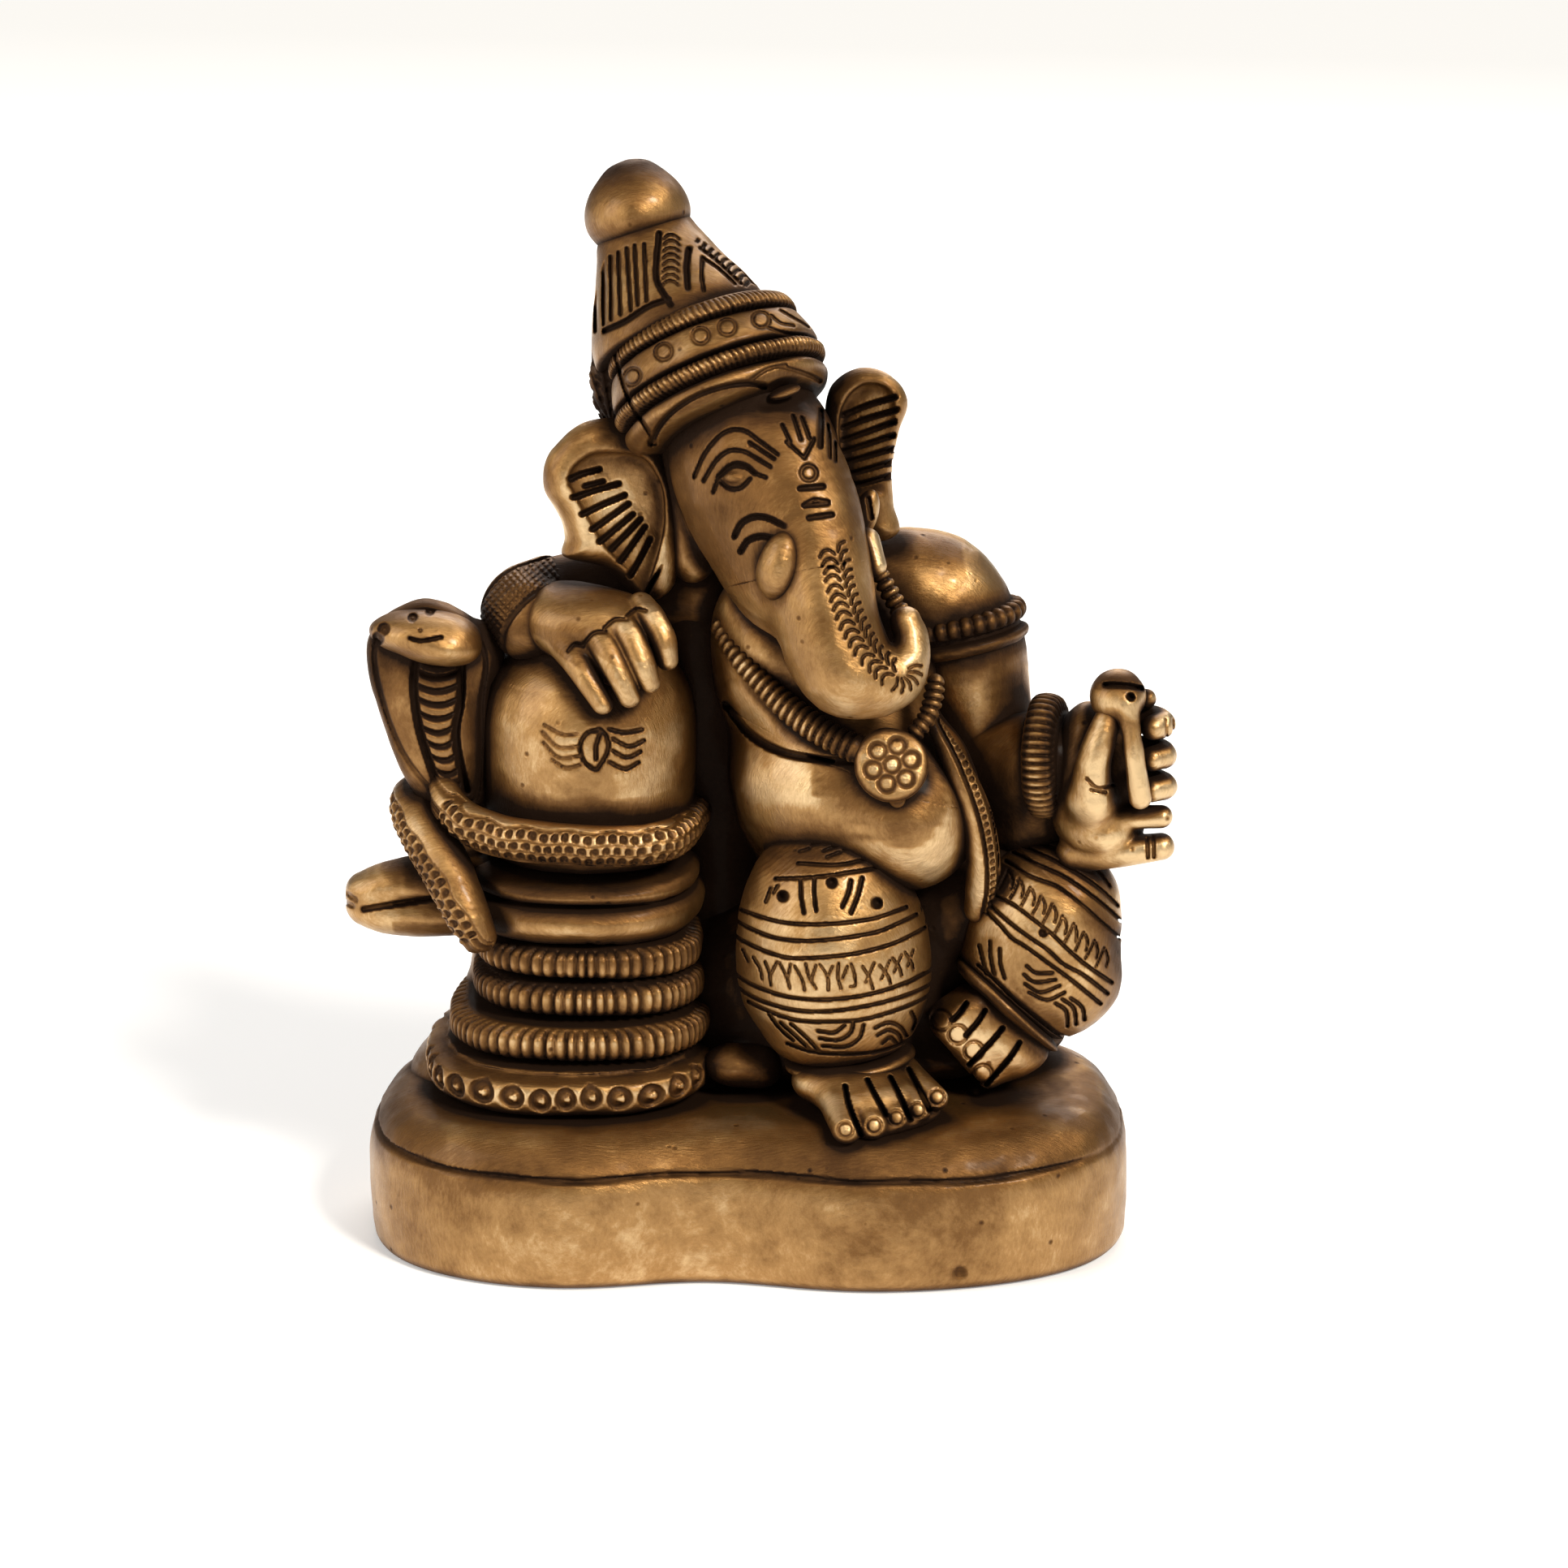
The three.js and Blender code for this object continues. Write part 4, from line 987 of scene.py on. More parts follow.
def ear(outline, depth_at, turn, hollow, deep_side, grooves, thickness=4.8):
    """An ear: a thick plate with a rolled rim, hollowed inside an outline of its own, and grooves that leave
    ribs in the hollow. It is deeper towards deep_side, (place, way) on the drawing plane."""
    shell = plate(outline, depth_at, thickness, turn=turn, rounding=3.2)
    loop = curve_through(hollow, 6, closed=True)
    place, way = (np.array(p, dtype=float) for p in deep_side)
    way /= np.linalg.norm(way)

    def hollowed(x, y, z):
        u, v = drawing(x, y, z)
        slope = np.clip((u - place[0]) * way[0] + (v - place[1]) * way[1], 0, 7) / 7
        _, through = shell.across(x, y)
        floor = through + thickness / 2 - 0.8 - 1.1 * slope
        return smooth_max(polygon_distance(loop, u, v) + 0.4, floor, 0.8).astype(np.float32)

    def ribs(x, y, z):
        _, through = shell.across(x, y)
        near = np.nonzero((through < 0.4) & (shell.edge(x, y, z) < 1))[0]
        u, v = drawing(x[near], y[near], z[near])
        out = np.zeros(x.shape, dtype=np.float32)
        inside = step_up(polygon_distance(loop, u, v), 0.5, -0.2)
        out[near] = 0.75 * strokes(u, v, grooves, 0.42, curved=True) * inside
        return out

    return [("add", shell, 0), ("cut", Solid(shell.low, shell.high, hollowed), 0.5)], [ribs]


def raised(outline, depth_at):
    """An outline on the drawing plane as one of places (x, z) at a depth."""
    return [(u, (v - depth_at * math.sin(LEAN)) / math.cos(LEAN)) for u, v in outline]


@piece(step=FINE)
def ear_right():
    outline = raised(EAR_RIGHT_OUTLINE, 1.5)
    return ear(outline, 2.4, 10, EAR_RIGHT_HOLLOW, ((-19.5, 80.5), (0.75, 0.66)), EAR_RIGHT_GROOVES)


@piece(step=FINE)
def ear_left():
    outline = [
        (9.4, 101.0), (12.8, 103.2), (16.6, 102.4), (18.6, 99.4), (17.7, 95.6), (17.0, 91.4), (17.2, 87.2),
        (17.9, 83.8), (15.2, 82.4), (11.4, 84.4), (9.4, 90.0), (8.6, 96.0),
    ]
    return ear(outline, 3.0, -10, EAR_LEFT_HOLLOW, ((15.5, 88.0), (-0.8, 0.6)), EAR_LEFT_GROOVES, 4.6)


# ---- Crown ----
CROWN_FRAME = axes_along(CROWN_AXIS)
CONE_BASE = np.array([-3.9, 1.2, 97.0])


def crown_form(profile, rounding=0.8, base=CROWN_BASE):
    return vase(profile, base, CROWN_AXIS, squash=0.96, rounding=rounding)


def round_crown(x, y, z):
    """The angle from the front, the height along the crown and the distance from its axis."""
    a, b, h = seen_from(CROWN_FRAME, CROWN_BASE, x, y, z)
    return np.arctan2(a, -b), h, np.hypot(a, b)


def crown_end(x, y, z):
    """The groove that ends the front bands on the crown's right side."""
    return chart_cut([(0.4, 0.3, CROWN_END)], 6)(x, y, z)


def rope(profile, count, depth=0.45):
    low, high = profile[0][0], profile[-1][0]

    def cut(x, y, z):
        angle, height, r = round_crown(x, y, z)
        notches = reeds(count, depth, low - 0.2, high + 0.2)(angle + height * 0.02, height)
        return np.maximum(notches * (r > profile[1][1] - 1.5), crown_end(x, y, z))

    return [("add", crown_form(profile), 0)], [cut]


GEM_BED = ball((4.1, -7.0, 102.1), (3.2, 2.0, 1.6), (0, -18, 0))


@piece(step=FINE)
def crown_rim():
    roll = crown_form([(-1.0, 10.3), (-0.5, 11.5), (0.5, 12.3), (1.5, 12.4), (2.3, 11.7)], 1.2)
    cut = chart_cut([(0.6, 0.42, UNDER_RIM), (0.4, 0.3, CROWN_END), (0.35, 0.3, OVER_GEM)], 6)
    return [("add", roll, 0), ("cut", GEM_BED, 0.4)], [cut]


@piece(step=FINE, slot="brass_aged")
def crown_rope_lower():
    return rope([(2.0, 11.4), (2.5, 12.5), (3.3, 12.9), (4.1, 12.7), (4.6, 11.9)], 112)


@piece(step=FINE)
def crown_bead_band():
    radius = 12.1
    band = crown_form([(4.4, 12.0), (4.9, 12.5), (6.5, 12.2), (8.2, 11.5), (8.8, 10.8)])

    def cut(x, y, z):
        angle, height, r = round_crown(x, y, z)
        pitch = 2 * np.pi / 21
        share = angle / pitch + 0.3
        across = (share - np.round(share)) * pitch * radius
        struck = 0.3 * ridge(np.hypot(across, height - 6.7) - 0.95, 0.3) * (np.abs(angle) > 1.75)
        return struck * (r > 9)

    front = chart_cut(
        [(0.32, 0.26, BAND_LEAVES), (0.4, 0.3, CROWN_END)], 6, [(0.3, 0.95, 0.26, BAND_RINGS)],
    )
    return [("add", band, 0)], [cut, front]


@piece(step=FINE, slot="brass_aged")
def crown_rope_upper():
    return rope([(8.5, 10.4), (9.0, 11.4), (9.9, 11.4), (10.8, 10.8), (11.4, 9.9)], 98)


@piece(step=FINE, slot="brass_aged")
def crown_cone():
    profile = [(10.4, 10.6), (13.0, 10.2), (16.0, 9.0), (19.0, 7.6), (22.0, 6.4), (24.2, 5.6), (25.4, 4.4)]
    cone = crown_form(profile, base=CONE_BASE)

    def cut(x, y, z):
        a, b, height = seen_from(CROWN_FRAME, CONE_BASE, x, y, z)
        degrees = np.degrees(np.arctan2(a, -b))
        behind = 0.5 * step_up(off_centre(degrees / 9), 0.4, 0.95) * (np.abs(degrees) > 82)
        return behind * step_up(height, 12.2, 12.9) * step_up(height, 23.2, 22.4)

    front = chart_cut(
        [
            (0.65, 0.42, CONE_WIDE), (0.45, 0.28, CONE_FINE), (0.35, 0.2, CONE_CHISEL),
            (0.4, 0.22, CONE_STRIP),
        ], 7,
    )
    return [("add", cone, 0)], [cut, front]


@piece()
def crown_knob():
    onion = [
        (-0.4, 3.4), (0.8, 5.1), (2.6, 6.1), (4.6, 6.1), (6.6, 5.2), (8.4, 3.7), (9.6, 2.2), (10.3, 0.3),
    ]
    return [("add", vase(onion, (-12.2, 11.0, 115.8), (-0.17, 0.22, 0.96), rounding=1.2), 0)], []


@piece(step=FINE)
def crown_jewel():
    return [("add", ball((4.3, -5.8, 102.1), (1.9, 1.1, 0.72), (0, -18, 0)), 0)], []


@piece(step=FINE, slot="brass_aged")
def crown_back_tassel():
    tuft = limb(
        [
            (-15.0, 8.6, 106.0, 2.6), (-15.3, 8.2, 102.6, 3.1), (-15.1, 7.4, 99.0, 3.2),
            (-14.1, 6.8, 96.4, 2.6),
        ]
    )

    def cut(x, y, z):
        a = np.sin(x * 3.1 + z * 1.9 + np.sin(z * 2.3)) * np.sin(z * 3.7 - x * 1.3)
        fan = np.abs(np.sin((np.arctan2(z - 95, x + 15.5) * 14)))
        return 0.22 * step_up(a, 0.1, 0.8) + 0.2 * step_up(fan, 0.6, 1)

    return [("add", tuft, 0)], [cut]


# ---- Body ----
WAIST_PLANE = ((4, -7, 61.0), (-0.32, 0, -0.95))


def torso_and_belly():
    """The steps of the torso and belly as one form."""
    return [
        ("add", ball((9.2, 4.6, 67), (13.4, 10.6, 13.5), (0, -8, 0)), 0),
        ("add", ball((10, 8, 54), (13.5, 9.5, 16)), 3),
        ("add", ball((3.4, 1.8, 70.6), (6.6, 6.4, 9.0), (0, -28, 0)), 3),
        ("add", ball((12.2, 1.2, 53.8), (13.8, 12.2, 12.4), (0, 6, 0)), 2.4),
        ("add", ball((18.4, -3.0, 52.0), (9.0, 10.0, 9.6)), 3),
    ]


def chest_cut(x, y, z):
    u, v = drawing(x, y, z)
    fold = [(-2.6, 60.9), (0.0, 57.6), (3.6, 55.4), (8.2, 54.4), (12.2, 54.2)]
    roll = [(-1.6, 62.4), (1.6, 59.2), (5.2, 57.2), (9.2, 56.0)]
    navel = ridge(np.hypot(u - 24.2, v - 51.5), 0.25)
    out = 0.6 * strokes(u, v, [fold], 0.6, curved=True) - 0.25 * strokes(u, v, [roll], 1.6, curved=True)
    return (out + 0.2 * navel) * (y < 3)


@piece()
def torso():
    return [*torso_and_belly(), one_side(WAIST_PLANE, 1)], [chest_cut]


@piece()
def belly():
    return [*torso_and_belly(), one_side(WAIST_PLANE, -1)], [chest_cut]


@piece(step=MEDIUM * 1.3, slot="brass_aged")
def hips():
    seat = ball((12, 7.5, 28), (23.5, 12.5, 13))
    cloth = ball((13, 6.6, 20.8), (25, 13.4, 4.8))
    thigh = limb([(20, 5, 36, 9), (28, 3, 40, 8), (32, 1.5, 42, 6.4)])
    return [("add", seat, 0), ("add", cloth, 3), ("add", thigh, 3)], []


def bead_rope(path, pitch, depth=0.5):
    """Hollows between the beads of a rope that runs along a path."""
    line = curve_through(path, 6)[:, :3]

    def cut(x, y, z):
        along, _, _ = nearest_on(line, x, y, z)
        return depth * off_centre(along / pitch) ** 2.5

    return cut


@piece(step=FINE, slot="brass_aged")
def necklace():
    main = [
        (-3.4, 0.2, 73.4, 1.1), (-1.4, -2.6, 70.8, 1.3), (1.6, -5.0, 67.8, 1.5), (5.2, -7.2, 64.9, 1.65),
        (9.2, -9.2, 62.6, 1.7), (12.6, -10.6, 61.2, 1.6),
    ]
    right = [(19.0, -10.6, 63.0, 1.1), (20.8, -9.4, 65.2, 1.2), (21.6, -7.6, 68.4, 1.2)]
    behind = [
        (13.4, -2.4, 84.4, 1.0), (15.0, -3.4, 80.6, 1.2), (17.2, -4.2, 76.6, 1.3), (19.6, -5.2, 72.8, 1.2),
    ]
    forms = [("add", limb(path), 0) for path in (main, right, behind)]
    cuts = [bead_rope(main, 1.02), bead_rope(right, 0.95), bead_rope(behind, 1.1)]

    def cut(x, y, z):
        left, top = x < 15.5, z > 70.6
        return np.where(
            left & ~top | (x < 11), cuts[0](x, y, z), np.where(top, cuts[2](x, y, z), cuts[1](x, y, z)),
        )

    return forms, [cut]


@piece(step=FINE)
def pendant():
    axis = (0, -0.93, 0.36)
    centre = np.array([16.5, -12.4, 60.0])
    disc = vase([(-1.6, 3.6), (-0.9, 4.1), (0.2, 4.15), (0.8, 3.6), (1.0, 2.2), (1.05, 0.2)], centre, axis)
    drop = ball((17.2, -12.6, 55.9), (0.9, 0.8, 0.9))

    def cut(x, y, z):
        u, v = drawing(x, y, z)
        middle, around = (16.55, 53.75), np.radians(range(15, 375, 60))
        ring = [(middle[0] + 2.25 * math.cos(a), middle[1] + 2.25 * math.sin(a)) for a in around]
        return 0.42 * punched(u, v, [middle, *ring], 0.92, 0.32) * (y < -11)

    return [("add", disc, 0), ("add", drop, 0.3)], [cut]


@piece(step=FINE, slot="brass_aged")
def sacred_thread():
    path = [
        (21.6, -7.8, 63.4, 1.0), (24.2, -8.8, 58.6, 1.5), (26.2, -8.8, 53.4, 1.9), (27.2, -8.2, 48.6, 2.0),
        (27.4, -7.2, 44.4, 1.9), (27.0, -6.0, 40.6, 1.5),
    ]
    line = curve_through(path, 6)[:, :3]

    def cut(x, y, z):
        along, away, ahead = nearest_on(line, x, y, z)
        side = away[0] * 0.97 + away[2] * 0.1
        phase = along / 0.9
        dots = ridge(np.hypot((phase - np.round(phase)) * 0.9, side - 0.95), 0.36)
        seams = np.maximum(ridge(side - 0.3, 0.26), 0.6 * ridge(side - 1.6, 0.2))
        return np.maximum(0.4 * dots, 0.5 * seams) * (away[1] < 0.4)

    return [("add", limb(path), 0)], [cut]


# ---- Legs ----


@piece(step=FINE)
def leg_right():
    base, axis = (11.2, -6.4, 22.2), (-0.10, 0.02, 0.99)
    profile = [
        (0.6, 6.6), (1.3, 7.5), (4.0, 9.4), (8.0, 11.0), (12.5, 11.4), (17.0, 10.9), (21.4, 9.6),
        (25.0, 7.6), (27.4, 4.6), (28.6, 0.2),
    ]

    def behind(x, y, z):
        """Plain bands go on round the back of the leg."""
        a, b, h = seen_from(axes_along(axis), base, x, y, z)
        return 0.4 * np.maximum.reduce([ridge(h - at, 0.27) for at in (17.4, 15.6, 8.1, 6.6)]) * (b > -1)

    front = chart_cut(
        [
            (0.45, 0.26, LEG_RIGHT_LINES), (0.55, 0.3, LEG_RIGHT_BARS), (0.32, 0.19, LEG_RIGHT_ZIGZAG),
            (0.42, 0.26, LEG_RIGHT_SWIRLS), (0.35, 0.25, KNEE_RIGHT_MARKS),
        ], -5, [(0.9, 0.0, 0.72, LEG_RIGHT_DOTS)],
    )
    return [("add", vase(profile, base, axis, squash=0.93, rounding=1.6), 0)], [front, behind]


LEG_LEFT_BASE, LEG_LEFT_AXIS = (30.2, -4.6, 28.4), (0.66, 0.2, 0.70)


@piece(step=FINE)
def leg_left():
    profile = [
        (0.3, 7.5), (1.2, 8.0), (4.0, 9.3), (7.6, 9.9), (10.6, 9.2), (12.8, 7.2), (14.4, 4.0), (15.0, 0.2),
    ]

    def behind(x, y, z):
        """Plain bands go on round the back of the leg."""
        a, b, h = seen_from(axes_along(LEG_LEFT_AXIS), LEG_LEFT_BASE, x, y, z)
        return 0.4 * np.maximum.reduce([ridge(h - at, 0.27) for at in (12.4, 11.2, 7.6, 6.4)]) * (b > 4)

    front = chart_cut(
        [(0.45, 0.26, LEG_LEFT_LINES), (0.32, 0.19, LEG_LEFT_ZIGZAG), (0.42, 0.25, LEG_LEFT_SWIRLS)], 0,
        [(0.7, 0.0, 0.6, LEG_LEFT_DOTS)],
    )
    form = vase(profile, LEG_LEFT_BASE, LEG_LEFT_AXIS, squash=0.84, rounding=1.6)
    knee = ball((35.4, -3.4, 39.6), (8.4, 7.6, 8.4))
    return [("add", form, 0), ("add", knee, 3)], [front, behind]


@piece(step=FINE, slot="brass_aged")
def hem_right():
    axis = (-0.10, 0.02, 0.99)
    roll = vase([(-0.5, 6.6), (0.1, 7.5), (0.7, 7.8), (1.6, 7.2)], (11.9, -6.7, 21.6), axis, squash=0.93)
    ankle = vase([(-2.5, 5.6), (-1, 5.8), (1, 6.2)], (12.2, -6.9, 21.2), (-0.05, 0.1, 1), squash=0.93)
    return [("add", roll, 0), ("add", ankle, 0.4)], []


@piece(step=FINE, slot="brass_aged")
def hem_left():
    profile = [(-1.0, 6.6), (-0.5, 7.7), (0.1, 8.0), (0.7, 7.4)]
    return [("add", vase(profile, (30.6, -4.8, 28.0), LEG_LEFT_AXIS, squash=0.84), 0)], []


# ---- Feet and hands ----


@piece(step=FINE)
def foot_right():
    steps = [
        ("add", ball((11.8, -9.4, 20.6), (6.8, 5.8, 3.3), (0, 0, 8)), 0),
        ("add", ball((14.2, -13.0, 19.7), (6.3, 5.2, 2.5), (0, 0, 24)), 1.5),
        ("add", ball((16.2, -15.4, 17.9), (7.0, 3.6, 1.7), (0, 0, 29)), 1),
    ]
    tips = [
        (11.4, -19.8, 18.2), (14.6, -18.9, 18.4), (17.3, -17.5, 18.8), (19.8, -16.0, 19.2),
        (21.9, -14.2, 19.9),
    ]
    for i, tip in enumerate(tips):
        root = (9.8 + 2.1 * i, -12.8 + 1.1 * i, 20.6 + 0.2 * i)
        width = 1.8 - 0.06 * i
        steps.append(("add", limb([(*root, width + 0.2), (*tip, width)], (1, 1, 0.95), spans=4), 0.4))
    cut = chart_cut([(1.2, 0.36, FOOT_RIGHT_SLOTS)], -9, [(0.24, 0.85, 0.22, FOOT_RIGHT_NAILS)])
    return steps, [cut]


@piece(step=FINE)
def foot_left():
    slab = plate(raised(FOOT_LEFT_OUTLINE, -8), -6.6, 6.4, turn=14, rounding=1.8, smooth=4)
    instep = ball((31.0, -5.4, 24.4), (4.6, 4.6, 4.0), (0, 40, 0))
    cut = chart_cut([(1.3, 0.38, FOOT_LEFT_SLOTS)], -3, [(0.26, 1.1, 0.24, FOOT_LEFT_NAILS)])
    return [("add", slab, 0), ("add", instep, 2)], [cut]


@piece()
def upper_arm_left():
    arm = limb(
        [
            (19.8, 8, 76.8, 5.2), (22.6, 7.8, 74.4, 7.2), (25.6, 6.8, 69, 7.0), (27.0, 6, 61.5, 6.4),
            (28.6, 4.6, 54, 6.0),
        ]
    )
    shoulder = ball((18.2, 7.2, 75.6), (8.6, 6.2, 6.4), (0, 24, 0))
    return [("add", arm, 0), ("add", shoulder, 3.5)], []


@piece(step=MEDIUM, slot="brass_aged")
def forearm_left():
    steps = [
        ("add", limb([(27.4, 4.4, 55.0, 6.2), (31.0, 1.4, 55.4, 6.4), (35.0, -1.8, 57.2, 6.2)]), 0),
        ("add", ball((29.8, 2.4, 49.6), (5.0, 4.6, 4.6)), 2.5),
        ("add", ball((33.4, -0.4, 49.8), (4.6, 4.4, 5.4)), 2.5),
    ]
    return steps, []


@piece(step=FINE, slot="brass_aged")
def armband_left():
    base, axis = (25.0, 6.8, 70.8), (-0.2, 0.1, 0.97)
    upper = vase([(-0.2, 6.6), (0.3, 7.7), (1.3, 8.1), (2.3, 7.7), (2.8, 6.6)], base, axis)
    lower = vase([(-2.4, 6.6), (-2.0, 7.5), (-1.2, 7.9), (-0.5, 7.5), (-0.2, 6.6)], base, axis)
    matrix = axes_along(axis)

    def cut(x, y, z):
        a, b, h = seen_from(matrix, base, x, y, z)
        phase = np.arctan2(a, -b) * 30 / (2 * np.pi)
        notch = 0.5 * off_centre(phase) ** 2.2
        return notch * step_up(h, 0.1, 0.6) * (np.hypot(a, b) > 6)

    return [("add", upper, 0), ("add", lower, 0.2)], [cut]


@piece(step=FINE, slot="brass_aged")
def bracelet_left():
    base, axis = (34.9, -2.8, 58.2), (0.965, -0.26, 0.04)
    ring = vase([(-2.2, 5.8), (-1.7, 7.0), (-0.3, 7.5), (1.4, 7.1), (2.2, 5.8)], base, axis, squash=0.92)
    matrix = axes_along(axis)

    def cut(x, y, z):
        a, b, _ = seen_from(matrix, base, x, y, z)
        phase = np.arctan2(a, -b) * 42 / (2 * np.pi)
        notch = 0.5 * off_centre(phase) ** 2
        return notch * (np.hypot(a, b) > 5.4)

    return [("add", ring, 0)], [cut]


@piece(step=MEDIUM)
def upper_arm_right():
    arm = limb(
        [(-6, 9.6, 75.6, 6.0), (-14, 9.8, 75.4, 5.4), (-21.6, 8.4, 74.2, 5.1), (-25.6, 5.2, 73.6, 4.6)]
    )
    return [("add", arm, 0)], []


@piece(step=FINE, slot="brass_aged")
def bangle_right():
    sleeve = limb([(-23.6, 8.0, 74.2, 5.0), (-26.0, 4.8, 73.6, 5.4), (-25.2, 1.6, 73.6, 5.0)], (1, 1, 1.02))

    def cut(x, y, z):
        u, v = drawing(x, y, z)
        along = (u + 29.4) * 0.45 + (v - 72) * -0.3 - y * 0.35
        bands = 0.45 * ridge(np.abs(along) - 2.2, 0.34)
        first, second = np.sin((u + v) * 3.4), np.sin((u - v) * 3.4)
        hatch = 0.2 * np.maximum(step_up(np.abs(first), 0.75, 1.0), step_up(np.abs(second), 0.75, 1.0))
        return np.maximum(bands, hatch * (np.abs(along) < 1.9))

    return [("add", sleeve, 0)], [cut]


def finger(*stations):
    return limb(stations, spans=4)


@piece(step=FINE)
def hand_right():
    steps = [
        ("add", ball((-19.8, 0.2, 73.4), (6.6, 6.6, 4.6), (0, 20, -10)), 0),
        ("add", ball((-15.4, -2.2, 73.8), (6.4, 5.4, 3.8), (0, 10, 0)), 2.5),
        ("add", ball((-14.8, -5.6, 70.6), (4.6, 2.6, 3.4), (0, 20, 0)), 1.5),
    ]
    fingers = [
        (
            0.8, (-21.6, -3.8, 72.4, 1.9), (-19.6, -6.8, 70.6, 1.75), (-17.9, -8.2, 68.2, 1.55),
            (-16.6, -8.8, 66.2, 1.3),
        ),
        (
            0.35, (-18.2, -4.6, 74.2, 1.8), (-16.4, -7.4, 72.6, 1.75), (-14.8, -8.8, 70.0, 1.65),
            (-13.6, -9.1, 67.2, 1.4),
        ),
        (
            0.35, (-15.2, -4.6, 75.2, 1.8), (-13.6, -7.0, 73.8, 1.7), (-12.2, -8.4, 71.2, 1.6),
            (-11.3, -8.5, 68.7, 1.35),
        ),
        (
            0.35, (-12.4, -3.2, 76.2, 1.7), (-10.9, -5.6, 75.2, 1.6), (-9.7, -6.8, 73.2, 1.5),
            (-9.3, -6.9, 71.0, 1.3),
        ),
    ]
    steps += [("add", finger(*stations), blend) for blend, *stations in fingers]
    knuckles = [
        [(-18.8, 67.6), (-17.6, 68.8), (-16.2, 69.0)], [(-16.4, 69.4), (-15.2, 70.4), (-13.8, 70.4)],
        [(-13.8, 70.8), (-12.8, 71.6), (-11.6, 71.4)], [(-20.6, 66.8), (-19.8, 67.6), (-18.8, 67.4)],
    ]
    return steps, [chart_cut([(0.35, 0.28, knuckles)], -2)]


@piece(step=FINE)
def hand_left():
    steps = [
        ("add", ball((39.0, -4.0, 56.6), (4.2, 5.0, 8.6), (0, 4, 0)), 0),
        ("add", ball((42.4, -4.6, 55.6), (3.6, 3.6, 8.0)), 2),
        ("add", ball((41.2, -6.0, 50.6), (4.8, 4.2, 3.6)), 2),
        ("add", ball((39.8, -8.6, 54.6), (3.0, 2.8, 3.2)), 1.0),
        (
            "add",
            finger(
                (39.6, -9.4, 55.4, 2.5), (39.7, -10.0, 59.4, 2.1), (40.6, -10.0, 62.6, 1.9),
                (41.6, -9.4, 65.2, 1.6),
            ), 0.8,
        ),
    ]
    for i, across in enumerate((47.2, 47.5, 47.6)):
        z = 63.6 - 3.72 * i
        curl = [
            (43.6, -5.0, z - 0.4, 1.7), (46.4, -6.2, z, 1.8), (across + 0.5, -8.2, z, 1.65),
            (46.6, -9.6, z, 1.5),
        ]
        steps.append(("add", finger(*curl), 0.4))
    steps += [
        ("add", finger((44.0, -5.6, 66.0, 1.4), (45.9, -7.4, 66.4, 1.2)), 0.4),
        ("add", finger((40.6, -7.6, 51.6, 1.9), (44.6, -8.4, 52.4, 1.5), (47.8, -8.8, 52.7, 1.4)), 0.5),
        ("add", finger((38.0, -6.0, 47.2, 2.2), (43.4, -7.8, 48.2, 1.9), (47.9, -8.8, 49.0, 1.6)), 0.5),
    ]
    nails = [[(46.2, 45.2), (46.3, 43.0)], [(46.9, 45.3), (47.0, 43.1)]]
    creases = [[(38.9, 52.2), (40.2, 51.1), (42.1, 51.4)], [(39.4, 50.9), (41.2, 50.6)]]
    pads = [[(48.0, 59.0), (48.1, 57.0)], [(48.9, 59.0), (49.0, 57.2)]]
    return steps, [chart_cut([(0.35, 0.26, nails + creases), (0.2, 0.2, pads)], -5)]


@piece(step=FINE)
def held_sweet():
    cap = vase(
        [(-1.5, 1.4), (-0.6, 2.8), (0.8, 3.3), (2.2, 3.15), (3.5, 2.3), (4.3, 1.2), (4.6, 0.2)],
        (42.5, -8.4, 65.8), (0, 0.06, 1),
    )
    stem = limb([(43.4, -10.6, 66.6, 1.25), (44.4, -11.2, 60.8, 1.2), (45.2, -11.0, 55.6, 1.3)], spans=3)
    slit = [[(41.0, 62.9), (43.3, 62.8), (45.2, 62.5)]]
    cut = chart_cut([(0.9, 0.42, slit)], -8, [(0.9, 0.0, 0.55, [(43.8, 61.5)])])
    return [("add", cap, 0), ("add", stem, 1.2)], [cut]


# ---- From steps to meshes ----


def grid_axes(low, high, step):
    """The places of a grid's planes along each axis, as arrays that combine into the grid."""
    counts = np.ceil((np.array(high) - low) / step).astype(int) + 1
    lines = [np.asarray(low[i] + step * np.arange(counts[i]), dtype=np.float32) for i in range(3)]
    return lines[0][:, None, None], lines[1][None, :, None], lines[2][None, None, :]


def worked(clay, what, tool, blend):
    """The clay after one step: a solid added, cut out, or the only part kept."""
    if what == "add":
        return smooth_min(clay, tool, blend)
    return smooth_max(clay, -tool if what == "cut" else tool, blend)


def sculpt(steps, x, y, z):
    """The distance of a piece before it is engraved, on a grid."""
    clay = np.full((x.size, y.size, z.size), FAR, dtype=np.float32)
    for what, solid, blend in steps:
        margin = ROOM + 2.5 * blend + (3 if blend else 0)
        window = window_between(solid.low - margin, solid.high + margin, x, y, z)
        if any(s.start >= s.stop for s in window):
            continue
        tool = solid.distance(x[window[0]], y[:, window[1]], z[:, :, window[2]])
        clay[window] = worked(clay[window], what, tool, blend)
    return clay


def reach_of(steps):
    """The corners of the box that a piece's steps fill."""
    added = [solid for what, solid, _ in steps if what == "add"]
    low, high = np.min([s.low for s in added], axis=0), np.max([s.high for s in added], axis=0)
    for what, solid, _ in steps:
        if what == "keep":
            low, high = trim(low, high, solid)
    return low, high


